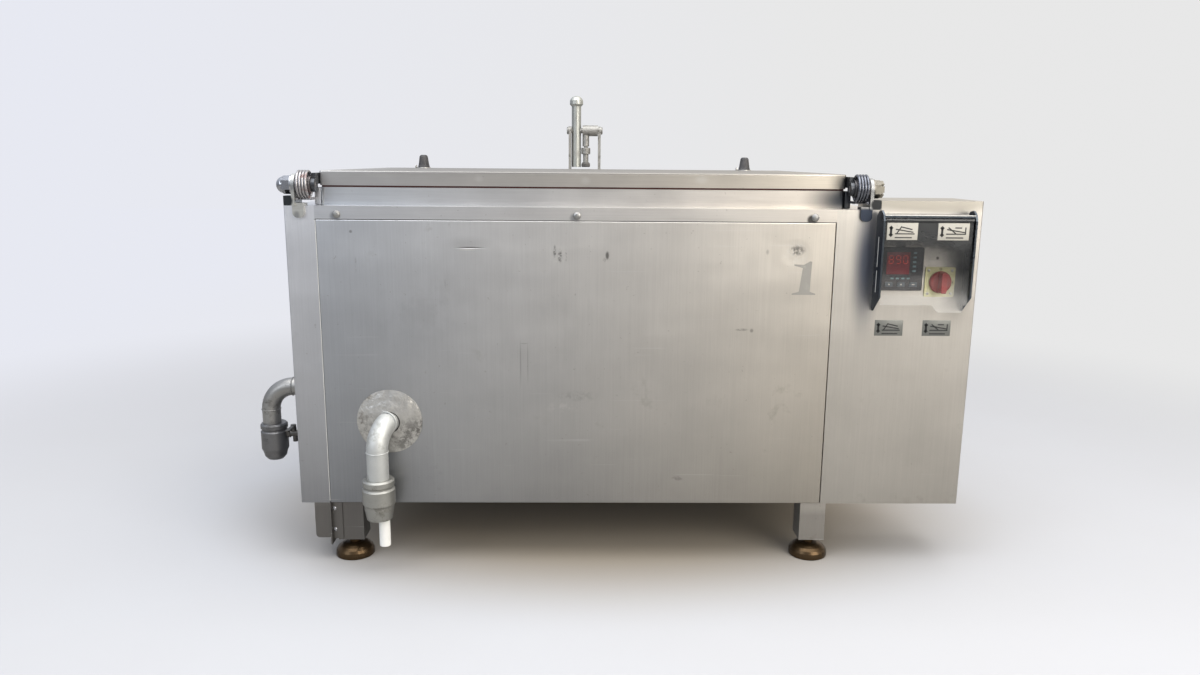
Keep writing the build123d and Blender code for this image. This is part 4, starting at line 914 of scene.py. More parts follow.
PANEL_MARKS = (
    # a dent: a soft dark patch and a dark line of painted shade, a painted highlight line below them, the
    # line also pushed in
    Smudge(400.0, 748.0, 34.0, 11.0, strength=0.16, edge=0.9),
    Smudge(402.0, 738.2, 26.0, 1.7, strength=0.75, dent=0.0008),
    Smudge(396.0, 733.6, 18.0, 1.5, strength=0.55, tint=LIGHT),
    Smudge(596.0, 723.0, 18.0, 19.0, strength=0.30, broken=180.0, tint=LIGHT),
    Smudge(588.0, 731.0, 3.0, 12.0, strength=0.80, broken=90.0),
    Smudge(600.0, 721.0, 4.5, 13.0, strength=0.75, edge=0.4, broken=150.0),
    Smudge(613.0, 722.0, 2.2, 11.0, strength=0.45, broken=60.0),
    Smudge(704.0, 723.0, 3.6, 8.0, strength=0.80),
    Smudge(698.0, 713.0, 4.0, 4.0, broken=120.0),
    Smudge(1008.0, 558.0, 13.0, 2.6, strength=0.45, broken=120.0),
    Smudge(1030.0, 556.0, 3.6, 4.0),
    Smudge(511.0, 480.0, 1.3, 44.0, strength=0.32),
    Smudge(527.0, 478.0, 1.3, 42.0, strength=0.26),
    Smudge(519.0, 524.0, 8.0, 1.2, strength=0.25),
    Smudge(604.0, 376.0, 30.0, 10.0, strength=0.16, edge=0.8, broken=60.0, tint=LIGHT),
    Smudge(640.0, 402.0, 34.0, 9.0, strength=0.22, edge=0.8, broken=70.0),
    Smudge(1121.0, 730.0, 27.0, 24.0, strength=0.30, edge=0.4, broken=110.0, dent=0.0004, tint=LIGHT),
    Smudge(1124.0, 737.0, 15.0, 10.0, strength=0.75, broken=120.0),
    Smudge(1058.0, 733.0, 3.0, 5.0, strength=0.30, edge=0.6),
    Smudge(143.0, 772.0, 3.0, 3.0, strength=0.55),
    Smudge(151.0, 700.0, 1.8, 14.0, strength=0.30, edge=0.6, broken=50.0),
    Smudge(346.0, 664.0, 1.6, 12.0, strength=0.30, edge=0.6, broken=50.0),
    Smudge(872.0, 206.0, 12.0, 5.0, strength=0.35, broken=90.0),
    Smudge(300.0, 610.0, 90.0, 60.0, strength=0.10, edge=0.9, broken=12.0),
    # a broad darkening low on the left, painted shade
    Smudge(140.0, 360.0, 130.0, 270.0, strength=0.13, edge=0.9),
)

# Painted shadows: dark patches beside the three screws in the deck's front strip.
DECK_MARKS = (
    Smudge(110.0, 805.0, 10.0, 10.0, strength=0.55, edge=0.4, tint=SHADE),
    Smudge(632.0, 804.0, 10.0, 10.0, strength=0.55, edge=0.4, tint=SHADE),
    Smudge(1153.0, 804.0, 10.5, 10.5, strength=0.90, edge=0.3, tint=(0.03, 0.03, 0.032)),
)

CABINET_MARKS = (
    # painted shadow cast by the hood's left cheek
    Smudge(1279.0, 712.0, 24.0, 112.0, strength=0.92, edge=0.80, tint=(0.07, 0.085, 0.125)),
    # painted shade inside the hood, by its right cheek
    Smudge(1484.0, 716.0, 26.0, 96.0, strength=0.75, edge=0.9, tint=(0.07, 0.07, 0.067)),
    Smudge(1437.0, 722.0, 3.2, 3.2, strength=0.85, edge=0.4),
    Smudge(1353.0, 748.0, 11.0, 14.0, strength=0.90, edge=0.3, tint=(0.02, 0.02, 0.022)),
    # painted shade under the hood's roof
    Smudge(1455.0, 800.0, 60.0, 34.0, strength=0.45, edge=0.8, tint=SHADE),
    # a darker band along the cabinet's top edge and top face, painted shade
    Smudge(1415.0, 846.0, 170.0, 24.0, strength=0.85, edge=0.4, tint=(0.36, 0.34, 0.30)),
)

REAR_SCREWS = [(x, z) for z in (185.0, 790.0) for x in (40.0, 450.0, 860.0, 1264.0)]
REAR_SCREWS += [(40.0, 488.0), (1264.0, 488.0)]
REAR_MARKS = tuple(Smudge(x, z, 4.4, 4.4, strength=0.62, edge=0.35) for x, z in REAR_SCREWS)

# Painted shade on the hinge brackets: by the axles at the top, on the right bracket's foot, on the pads
# under both nuts and beside the left bracket's foot.
BRACKET_MARKS = (
    Smudge(22.0, 874.0, 14.0, 15.0, strength=0.60, tint=(0.16, 0.17, 0.19)),
    Smudge(1282.0, 874.0, 14.0, 15.0, strength=0.45, tint=(0.16, 0.17, 0.19)),
    Smudge(1268.0, 811.0, 34.0, 19.0, strength=0.97, edge=0.2, tint=(0.035, 0.045, 0.07)),
    Smudge(1293.0, 838.0, 15.0, 13.0, strength=0.97, edge=0.2, tint=(0.03, 0.032, 0.035)),
    Smudge(9.0, 838.0, 15.0, 13.0, strength=0.97, edge=0.2, tint=(0.03, 0.035, 0.04)),
    Smudge(30.0, 806.0, 6.0, 9.0, strength=0.45, edge=0.6, tint=(0.06, 0.07, 0.10)),
)

LID_MARKS = (
    # the lid's top face darkened, painted shade in place of its highlight
    Smudge(652.0, 903.0, 660.0, 4.0, strength=0.80, edge=0.3, tint=(0.16, 0.157, 0.152)),
    # painted shade at the lid's right end, by the right hinge
    Smudge(1236.0, 884.0, 26.0, 26.0, strength=0.80, edge=0.8, tint=(0.05, 0.055, 0.06)),
    # lighter spots on the lid's front
    Smudge(420.0, 886.0, 8.0, 5.0, strength=0.30, edge=0.8, tint=LIGHT),
    Smudge(655.0, 884.0, 9.0, 7.0, strength=0.35, edge=0.8, tint=LIGHT),
    Smudge(912.0, 888.0, 12.0, 7.0, strength=0.35, edge=0.8, tint=LIGHT),
)

# Painted shade on the rim's right end, where the right hinge shades it.
RIM_MARKS = (
    Smudge(1234.0, 846.0, 62.0, 34.0, strength=0.95, edge=0.85, tint=(0.035, 0.045, 0.06)),
)

# Broken darker patches low down and to the right of the rosette, lighter ones near its top.
ROSETTE_MARKS = (
    Smudge(262.0, 306.0, 50.0, 38.0, strength=0.72, edge=0.7, broken=60.0),
    Smudge(286.0, 330.0, 22.0, 30.0, edge=0.7, broken=90.0),
    Smudge(168.0, 330.0, 26.0, 30.0, strength=0.40, edge=0.7, broken=90.0),
    Smudge(240.0, 384.0, 40.0, 14.0, strength=0.30, edge=0.7, broken=80.0, tint=LIGHT),
    Smudge(196.0, 378.0, 26.0, 12.0, strength=0.35, edge=0.7, broken=80.0, tint=LIGHT),
)


@dataclass
class Finishes:
    """Every finish on the machine."""

    # Most ground sheets below are painted with light that changes from left to right and with shade towards
    # their bottoms.
    front: GroundSheet = GroundSheet(
        "front_sheet", tint=(0.64, 0.64, 0.64), roughness=0.37, waviness=0.0026, foot=0.56,
        foot_height=0.80, cool=(0.93, 0.97, 1.04), warm=(1.18, 1.10, 0.98), smudges=PANEL_MARKS,
    )
    side: GroundSheet = GroundSheet(
        "side_sheet", tint=(0.65, 0.65, 0.65), roughness=0.38, wear=0.8, waviness=0.0020, foot=0.60,
        foot_height=0.80, cool=(1.12, 1.14, 1.20), warm=(1.05, 1.0, 0.92),
    )
    rear: GroundSheet = GroundSheet(
        "rear_sheet", tint=(0.65, 0.65, 0.65), roughness=0.38, wear=0.8, waviness=0.0020, foot=0.60,
        foot_height=0.80, cool=(1.12, 1.14, 1.20), warm=(1.05, 1.0, 0.92), smudges=REAR_MARKS,
    )
    cabinet: GroundSheet = GroundSheet(
        "cabinet_sheet", tint=(0.66, 0.63, 0.585), roughness=0.38, wear=0.6, waviness=0.0014,
        foot=0.42, foot_height=0.84, smudges=CABINET_MARKS,
    )
    deck: GroundSheet = GroundSheet(
        "deck_sheet", tint=(0.64, 0.635, 0.63), grain=Grain.ALONG_X, wear=0.8, waviness=0.0010,
        foot=0.42, foot_height=0.80, cool=(0.96, 0.99, 1.05), warm=(1.12, 1.06, 0.98),
        smudges=DECK_MARKS,
    )
    lid: GroundSheet = GroundSheet(
        "lid_sheet", tint=(0.58, 0.575, 0.565), roughness=0.33, grain=Grain.ALONG_X, wear=0.9,
        waviness=0.0016, cool=(0.87, 0.87, 0.885), warm=(1.09, 1.01, 0.89),
        smudges=LID_MARKS, matt_above=0.9005,
    )
    # painted shade: a near black copy of the lid's steel for the lid's arms and the right rim end, which sit
    # in shade
    arm: GroundSheet = GroundSheet(
        "arm_sheet_painted_shade", tint=(0.085, 0.09, 0.10), roughness=0.35, wear=0.8, waviness=0.0006,
    )
    vessel: GroundSheet = GroundSheet(
        "vessel_sheet", tint=(0.60, 0.60, 0.60), roughness=0.34, grain=Grain.ALONG_X, wear=0.7,
        waviness=0.0010, cool=(1.03, 1.08, 1.15), warm=(1.19, 1.10, 0.99),
        smudges=RIM_MARKS,
    )
    # painted light: the legs darker on the left, lighter on the right
    frame: GroundSheet = GroundSheet(
        "frame_tube", tint=(0.33, 0.32, 0.31), roughness=0.42, wear=1.6, waviness=0.0008, foot=0.25,
        foot_height=0.14, cool=(0.70, 0.69, 0.68), warm=(1.3, 1.27, 1.22),
    )
    # painted light and shade: the brackets lighter on the left, darker on the right
    bracket: GroundSheet = GroundSheet(
        "bracket_plate", tint=(0.50, 0.50, 0.49), wear=1.4, waviness=0.0006,
        cool=(1.10, 1.10, 1.06), warm=(0.74, 0.75, 0.76), smudges=BRACKET_MARKS,
    )
    bright: BareMetal = BareMetal(
        "bright_steel", tint=(0.55, 0.545, 0.53), dirt=(0.16, 0.14, 0.12), roughness=0.30,
        dirtiness=0.30, lumps=0.0002, lump_size=40.0,
    )
    clamp: BareMetal = BareMetal(
        "clamp_steel", tint=(0.34, 0.335, 0.32), dirt=(0.10, 0.095, 0.085), roughness=0.52,
        dirtiness=0.60, lumps=0.0003, lump_size=60.0, metallic=0.75,
    )
    handle: BareMetal = BareMetal(
        "handle_tube", tint=(0.44, 0.45, 0.425), dirt=(0.16, 0.15, 0.13), roughness=0.44,
        dirtiness=0.35, lumps=0.0002, lump_size=30.0, metallic=0.82,
    )
    elbow: BareMetal = BareMetal(
        "pickled_bend", tint=(0.58, 0.595, 0.59), dirt=(0.22, 0.215, 0.19), roughness=0.50,
        dirtiness=0.55, lumps=0.0014, lump_size=24.0, metallic=0.72, spots=0.3,
    )
    rosette: BareMetal = BareMetal(
        "dished_rosette", tint=(0.60, 0.59, 0.565), dirt=(0.15, 0.135, 0.115), roughness=0.32,
        dirtiness=0.85, lumps=0.0110, metallic=0.90, smudges=ROSETTE_MARKS,
    )
    pipe: BareMetal = BareMetal(
        "dull_pipe", tint=(0.35, 0.345, 0.335), dirt=(0.10, 0.09, 0.08), roughness=0.42,
        dirtiness=0.55, lumps=0.0008, lump_size=30.0, metallic=0.92, spots=0.5,
    )
    trap: BareMetal = BareMetal(
        "dark_trap", tint=(0.20, 0.20, 0.205), dirt=(0.08, 0.075, 0.07), roughness=0.42,
        dirtiness=0.55, lumps=0.0010, lump_size=30.0, metallic=0.92, spots=0.5,
    )
    coupling: BareMetal = BareMetal(
        "cast_coupling", tint=(0.38, 0.38, 0.36), dirt=(0.11, 0.10, 0.08), roughness=0.46,
        dirtiness=0.60, lumps=0.0012, lump_size=34.0, metallic=0.88, spots=0.5,
    )
    chrome: BareMetal = BareMetal(
        "bright_plating", tint=(0.46, 0.47, 0.50), dirt=(0.06, 0.06, 0.06), roughness=0.12,
        dirtiness=0.45, lumps=0.0001, lump_size=46.0,
    )
    castle: BareMetal = BareMetal(
        "castle_nut_steel", tint=(0.27, 0.255, 0.22), dirt=(0.07, 0.055, 0.045), dirtiness=0.60,
        lumps=0.0002, lump_size=40.0,
    )
    # the reddish colour given as dirt here is a painted reflection of the red gasket, on the left spring and
    # the stub axles
    spring: BareMetal = BareMetal(
        "spring_wire_red_reflection", tint=(0.40, 0.39, 0.40), dirt=(0.17, 0.065, 0.05), dirtiness=0.65, lumps=0.0001,
        lump_size=46.0,
    )
    # painted shade: a darker copy of the spring wire for the right spring, which sits in shade
    dark_spring: BareMetal = BareMetal(
        "spring_wire_painted_shade", tint=(0.17, 0.18, 0.21), dirt=(0.04, 0.04, 0.05), roughness=0.26,
        dirtiness=0.55, lumps=0.0001, lump_size=46.0,
    )
    # painted highlight: a pale finish for bright strips along the panel's left fold and on the hood
    edge: BareMetal = BareMetal(
        "painted_highlight_edge", tint=(0.74, 0.74, 0.72), dirt=(0.30, 0.29, 0.27), roughness=0.50, dirtiness=0.20,
        lumps=0.0001, lump_size=30.0, metallic=0.35,
    )
    screw: BareMetal = BareMetal(
        "dull_screw", tint=(0.34, 0.34, 0.335), dirt=(0.10, 0.09, 0.08), roughness=0.40,
        dirtiness=0.35, lumps=0.0002, lump_size=60.0,
    )
    brass: BareMetal = BareMetal(
        "cast_brass", tint=(0.50, 0.38, 0.20), dirt=(0.14, 0.10, 0.06), roughness=0.38, dirtiness=0.5,
        lump_size=40.0,
    )
    cock: BareMetal = BareMetal(
        "dirty_cock", tint=(0.12, 0.115, 0.11), dirt=(0.04, 0.035, 0.03), roughness=0.42,
        dirtiness=0.7, lump_size=50.0,
    )
    bronze: BareMetal = BareMetal(
        "foot_bronze", tint=(0.085, 0.054, 0.027), dirt=(0.02, 0.014, 0.01), roughness=0.31,
        dirtiness=0.70, lump_size=46.0, metallic=0.85, spots=0.4,
    )
    zinc: BareMetal = BareMetal(
        "zinc_plate", tint=(0.62, 0.63, 0.64), dirt=(0.30, 0.29, 0.27), roughness=0.42, dirtiness=0.3,
        lumps=0.0002, lump_size=18.0,
    )
    hood: BareMetal = BareMetal(
        "dark_mirror_sheet", tint=(0.085, 0.10, 0.12), dirt=(0.03, 0.035, 0.04), roughness=0.26,
        dirtiness=0.5, lumps=0.0008, lump_size=12.0,
    )
    gasket: Moulding = Moulding(
        "red_silicone", tint=(0.045, 0.008, 0.007), rubbed=(0.075, 0.016, 0.013),
        dust=(0.11, 0.045, 0.035), roughness=0.60, dustiness=0.30,
    )
    rubber: Moulding = Moulding(
        "black_rubber", tint=(0.035, 0.035, 0.035), rubbed=(0.08, 0.08, 0.08), dust=(0.30, 0.28, 0.26),
        roughness=0.60, dustiness=0.30,
    )
    black: Moulding = Moulding(
        "black_moulding", tint=(0.022, 0.022, 0.027), rubbed=(0.05, 0.05, 0.06),
        dust=(0.22, 0.22, 0.22), roughness=0.36, dustiness=0.14,
    )
    grip: Moulding = Moulding(
        "grip_moulding", tint=(0.020, 0.021, 0.025), rubbed=(0.045, 0.045, 0.05),
        dust=(0.16, 0.15, 0.15), roughness=0.50, dustiness=0.30,
    )
    yellow: Moulding = Moulding(
        "yellow_moulding", tint=(0.52, 0.50, 0.26), rubbed=(0.66, 0.65, 0.50), dust=(0.60, 0.59, 0.52),
        roughness=0.38, dustiness=0.75,
    )
    red: Moulding = Moulding(
        "red_moulding", tint=(0.22, 0.013, 0.012), rubbed=(0.30, 0.05, 0.04), dust=(0.24, 0.11, 0.09),
        roughness=0.34, dustiness=0.20,
    )
    white: Moulding = Moulding(
        "white_moulding", tint=(0.82, 0.82, 0.80), rubbed=(0.86, 0.86, 0.85), dust=(0.60, 0.57, 0.50),
        dustiness=0.22,
    )
    grey: Moulding = Moulding(
        "grey_moulding", tint=(0.055, 0.07, 0.085), rubbed=(0.12, 0.15, 0.17), dust=(0.24, 0.27, 0.28),
        roughness=0.48, dustiness=0.20,
    )
    clear: ClearSheet = ClearSheet("hazy_clear_sheet")
    wool: Wool = Wool("mineral_wool")
    # painted glints: teal marks beside the controller's window and over its middle key
    teal: Ink = Ink("teal_painted_glints", tint=(0.16, 0.26, 0.28), worn=(0.06, 0.08, 0.09), loss=0.60)
    label: Ink = Ink("label_beige", tint=(0.47, 0.45, 0.40), worn=(0.30, 0.29, 0.26), loss=0.60)
    plate: Ink = Ink(
        "label_grey", tint=(0.17, 0.175, 0.165), worn=(0.30, 0.30, 0.28), loss=0.60, roughness=0.42,
        size=120.0, metallic=0.55,
    )
    ink: Ink = Ink("black_print", tint=(0.018, 0.018, 0.020), worn=(0.10, 0.10, 0.10), loss=0.35)
    stencil: Ink = Ink(
        "stencil_paint", tint=(0.33, 0.32, 0.30), worn=(0.46, 0.45, 0.42), loss=0.60, roughness=0.5,
        size=75.0, metallic=0.75,
    )
    window: Moulding = Moulding(
        "display_window", tint=(0.21, 0.033, 0.040), rubbed=(0.27, 0.06, 0.065),
        dust=(0.24, 0.12, 0.12), roughness=0.20, dustiness=0.30, grain_depth=0.00001,
    )
    segment: Lamp = Lamp("lit_segment")


@dataclass
class Housing:
    """The sheet housing with its screws, seams and worn numeral."""

    finishes: Finishes
    numeral: tuple = (
        (1116, 638), (1169, 638), (1169, 640.5), (1156, 645), (1158, 712), (1154, 713), (1140, 705),
        (1119, 706), (1119, 703), (1138, 698), (1132, 645), (1116, 640.5),
    )
    # a bright strip along the panel's left fold, painted highlight, and a dark strip in the seam along its
    # top, painted shadow
    edge: tuple = ((66.3, -0.35, 150.0), (67.7, 0.0, 796.5))
    seam: tuple = ((67.6, 0.3, 797.4), (1207.0, 0.9, 799.2))
    rim_end_lefts: tuple = (56.5, 1234.3)
    rim_end_width: float = 13.2
    rim_end_depths: tuple = (42.0, 58.0)
    rim_end_heights: tuple = (827.4, 865.5)
    leg_screw_place: tuple = (72, 12)
    leg_screw_heights: tuple = (74, 126)
    leg_screw_outline: tuple = ((0, 3.4), (3.0, 3.0), (4.9, 1.6), (5.2, 0.0), (5.2, -0.6), (0, -0.6))
    foot_places: tuple = ((108, 45), (1196, 45), (108, 785), (1196, 785))
    stem_nut_heights: tuple = (37.5, 46.8)
    stem_nut_radius: float = 14.5
    stem_nut_bevel: float = 0.8

    def build(self) -> None:
        """Dress the sheets and add the small pieces on them."""
        dress(self.finishes.front, "front_panel")
        dress(self.finishes.side, "left_panel", "right_panel", "bottom_tray")
        dress(self.finishes.rear, "rear_panel")
        dress(self.finishes.deck, "top_deck")
        dress(self.finishes.screw, "panel_screws")
        dress(self.finishes.frame, "frame_rails", "legs", "leg_side_cover")
        dress(self.finishes.bronze, "foot_discs", "foot_stems")
        dress(self.finishes.vessel, "inner_vessel", "steam_jacket", "jacket_stays", "drain_strainer")
        dress(self.finishes.wool, "insulation")
        self._numeral()
        self._edges()
        self._rim_ends()
        self._leg_screws()
        self._stem_nuts()

    def _numeral(self) -> None:
        """The bold stencilled figure near the panel's upper right corner."""
        figure = Shape()
        front = [figure.bm.verts.new(at(x, -0.15, z)) for x, z in self.numeral]
        face = figure.bm.faces.new(front)
        made = bmesh.ops.extrude_face_region(figure.bm, geom=[face])
        back = [item for item in made["geom"] if isinstance(item, bmesh.types.BMVert)]
        bmesh.ops.translate(figure.bm, verts=back, vec=(0.0, 0.00014, 0.0))
        figure.piece("stencil_figure", self.finishes.stencil, "kettle", "housing_steel")

    def _edges(self) -> None:
        """A bright strip along the panel's left fold, painted highlight, and a dark strip in the top seam,
        painted shadow.
        """
        edge = Shape()
        edge.box(*(at(*corner) for corner in self.edge), 0.1, 1)
        edge.piece("panel_edge_highlight", self.finishes.edge, "kettle", "housing_steel")
        seam = Shape()
        seam.box(*(at(*corner) for corner in self.seam))
        seam.piece("panel_top_seam_shadow", self.finishes.rubber, "kettle", "housing_steel")

    def _rim_ends(self) -> None:
        """The folded blocks that close the rim's front corners under the hinges; the right one is painted
        near black for the shade it sits in.
        """
        (front, back), (low, high) = self.rim_end_depths, self.rim_end_heights
        ends = zip(("left", "right"), self.rim_end_lefts, (self.finishes.deck, self.finishes.arm))
        for side, left, finish in ends:
            shape = Shape()
            shape.box(at(left, front, low), at(left + self.rim_end_width, back, high), 1.2)
            shape.piece(f"rim_end_{side}", finish, "kettle", "vessel_steel")

    def _leg_screws(self) -> None:
        """Two bright screws on the flange of the left leg's side cover."""
        for number, z in enumerate(self.leg_screw_heights, start=1):
            shape = Shape()
            shape.turned(self.leg_screw_outline, at(*self.leg_screw_place, z), (0, -1, 0)).joined()
            shape.piece(f"flange_screw_{number}", self.finishes.chrome, "kettle", "bright_steel")

    def _stem_nuts(self) -> None:
        """A lock nut on each foot stem, up against the leg."""
        low, high = self.stem_nut_heights
        for number, (x, y) in enumerate(self.foot_places, start=1):
            shape = Shape()
            shape.rod(at(x, y, low), at(x, y, high), self.stem_nut_radius, 6)
            bmesh.ops.bevel(
                shape.bm,
                geom=shape.bm.edges[:],
                offset=self.stem_nut_bevel / MM_PER_METRE,
                affect="EDGES",
                segments=2,
                profile=0.5,
                material=-1,
            )
            shape.piece(f"stem_lock_nut_{number}", self.finishes.bronze, "kettle", "foot_bronze")


@dataclass
class Lid:
    """The lid, its seal and its grips."""

    finishes: Finishes
    grip_places: tuple = (175.5, 1128.5)
    grip_depth: float = 736.0
    top: float = 902.0
    washer_outline: tuple = ((17.2, 0), (20.5, 0), (20.5, 1.2), (19.8, 1.8), (17.2, 1.8), (17.2, 0))

    def build(self) -> None:
        """Dress the lid and add the washers and tabs at its grips."""
        dress(self.finishes.lid, "lid_shell", "lid_liner")
        dress(self.finishes.arm, "lid_arms")
        dress(self.finishes.gasket, "lid_gasket")
        dress(self.finishes.grip, "lid_grips")
        for number, x in enumerate(self.grip_places, start=1):
            self._grip_trim(number, x)

    def _grip_trim(self, number: int, x: float) -> None:
        """The steel washer under a grip and the folded tab beside it.

        Args:
            number: the grip's number, from the left.
            x: the grip's place along the lid.
        """
        y, z = self.grip_depth, self.top
        washer = Shape()
        washer.turned(self.washer_outline, at(x, y, z), (0, 0, 1)).joined()
        washer.piece(f"grip_washer_{number}", self.finishes.bright, "lid", "lid_steel")
        tab = Shape()
        tab.box(at(x - 25, y - 6, z), at(x - 21, y + 6, z + 8), 0.8)
        tab.piece(f"grip_tab_{number}", self.finishes.bright, "lid", "lid_steel")


@dataclass
class Hinges:
    """Brackets, axles, nuts and the torsion springs that carry the lid's weight."""

    finishes: Finishes
    depth: float = 14.0
    height: float = 871.0
    wire: float = 3.0
    radius: float = 29.5
    turns: float = 4.0
    pitch: float = 6.3
    middle: float = 652.0
    first: float = 31.4
    wire_sides: int = 12
    steps_per_turn: int = 26
    leg_reaches: tuple = (-18.0, 30.0)

    def build(self) -> None:
        """Dress the hinges and wind the springs."""
        dress(self.finishes.bracket, "hinge_brackets")
        dress(self.finishes.spring, "stub_axles")
        dress(self.finishes.castle, "castle_nut")
        dress(self.finishes.chrome, "cap_nut")
        self._spring("left", 1.0, self.finishes.spring)
        self._spring("right", -1.0, self.finishes.dark_spring)

    def _spring(self, side: str, way: float, finish: Finish) -> None:
        """Wind one spring: a coil with a leg to the bracket and a leg under the lid's arm.

        Args:
            side: left or right.
            way: 1 where the coil winds to the right, -1 where it winds to the left.
            finish: the wire's finish.
        """
        start_x = self.first if way > 0 else 2 * self.middle - self.first
        end_x = start_x + way * self.pitch * self.turns
        start, end = (at(x, self.depth, self.height) for x in (start_x, end_x))
        shape = Shape()
        ring_centre = start + Vector((0, 0, -self.radius / MM_PER_METRE))
        turn = Matrix.Translation(ring_centre) @ Matrix.Rotation(math.radians(90), 4, "X")
        wire = self.wire / MM_PER_METRE
        made = bmesh.ops.create_circle(
            shape.bm, cap_ends=True, segments=self.wire_sides, radius=wire, matrix=turn
        )
        cap = made["verts"][0].link_faces[0]
        total = int(self.steps_per_turn * self.turns)
        bmesh.ops.spin(
            shape.bm,
            geom=[cap],
            cent=start,
            axis=(1, 0, 0),
            dvec=(way * self.pitch * self.turns / total / MM_PER_METRE, 0, 0),
            angle=2 * math.pi * self.turns,
            steps=total,
            use_merge=False,
            use_duplicate=False,
        )
        shape.bm.faces.ensure_lookup_table()
        caps = [face for face in shape.bm.faces if len(face.verts) == self.wire_sides]
        caps.sort(key=lambda face: face.calc_center_median().x * way)
        for face, reach in zip(caps, self.leg_reaches):
            out = bmesh.ops.extrude_discrete_faces(shape.bm, faces=[face])
            bmesh.ops.translate(shape.bm, verts=out["faces"][0].verts, vec=(0, reach / MM_PER_METRE, 0))
        shape.joined()
        piece = shape.piece(f"lid_spring_{side}", finish, None, "spring_steel", 60.0)
        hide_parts(f"torsion_spring_{side}")
        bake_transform(piece)
        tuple(start)
        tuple(end)


@dataclass
class Clamp:
    """The lid clamp behind the lid."""

    finishes: Finishes

    def build(self) -> None:
        """Dress the clamp."""
        dress(self.finishes.clamp, "clamp_standards", "clamp_shaft", "press_spindle")
        dress(self.finishes.handle, "clamp_handle")
        dress(self.finishes.rubber, "press_foot")


@dataclass
class Pipework:
    """Drain, condensate outlet, steam supply and safety valve."""

    finishes: Finishes
    drain_x: float = 212.0
    drain_z: float = 342.0
    drain_bend: float = 56.0
    drain_turn: float = 20.0
    drain_radius: float = 24.15
    rosette_depth: float = 13.5
    outlet_x: float = -98.0
    outlet_y: float = 120.0
    outlet_z: float = 392.0
    outlet_bend: float = 56.0
    outlet_radius: float = 21.2

    def build(self) -> None:
        """Dress the pipes and add their weld beads."""
        dress(self.finishes.pipe, "drain_pipe", "condensate_pipe", "steam_supply_pipe")
        dress(self.finishes.trap, "condensate_trap")
        dress(self.finishes.coupling, "drain_coupling")
        dress(self.finishes.elbow, "drain_bend")
        dress(self.finishes.rosette, "drain_flange")
        dress(self.finishes.white, "drain_spout")
        dress(self.finishes.brass, "steam_valve_body", "jacket_safety_valve")
        dress(self.finishes.cock, "drain_cock_body", "drain_cock_lever")
        dress(self.finishes.bright, "temperature_probe")
        dress(self.finishes.black, "steam_valve_coil")
        self._beads()

    def _beads(self) -> None:
        """Weld beads where pipes meet each other or a sheet."""
        turn = math.radians(self.drain_turn)
        way = (-math.sin(turn), -math.cos(turn), 0.0)
        wall = at(self.drain_x, 0, self.drain_z)
        bend = self.drain_bend / MM_PER_METRE
        depth = self.rosette_depth / MM_PER_METRE
        bend_end = wall + Vector(way) * bend
        bend_end.z -= bend
        for name, centre, axis, clear, thick in (
            ("drain_bead", wall + Vector(way) * depth, way, 0.6, 1.9),
            ("bend_bead", bend_end, (0, 0, 1), 0.2, 1.3),
        ):
            shape = Shape().bead(centre, axis, self.drain_radius + clear, thick)
            shape.piece(name, self.finishes.elbow, "kettle", "bright_steel")
        x, y, z = self.outlet_x, self.outlet_y, self.outlet_z
        for name, centre, axis in (
            ("outlet_wall_bead", at(0, y, z), (1, 0, 0)),
            ("outlet_bend_bead", at(x + self.outlet_bend, y, z), (1, 0, 0)),
            ("outlet_leg_bead", at(x, y, z - self.outlet_bend), (0, 0, 1)),
        ):
            shape = Shape().bead(centre, axis, self.outlet_radius + 0.2, 1.5)
            shape.piece(name, self.finishes.pipe, "kettle", "pipe_steel")


class Pictogram(Enum):
    """What a plate shows, as strokes between places measured in shares of its width and height."""

    HEATING = (((0.32, 0.38), (0.46, 0.76)), ((0.46, 0.76), (0.80, 0.62)))
    DRAINING = (((0.34, 0.72), (0.56, 0.40)), ((0.56, 0.72), (0.74, 0.72)), ((0.88, 0.38), (0.88, 0.72)))


@dataclass(frozen=True)
class Plate:
    """A pictogram plate, by its left and lower edge, its size and the face that it lies on."""

    name: str
    left: float
    low: float
    wide: float
    high: float
    face: float
    body: str
    picture: Pictogram

    def spot(self, across: float, up: float) -> tuple:
        """A place on the plate, as x and z, from shares of its width and height."""
        return self.left + self.wide * across, self.low + self.high * up


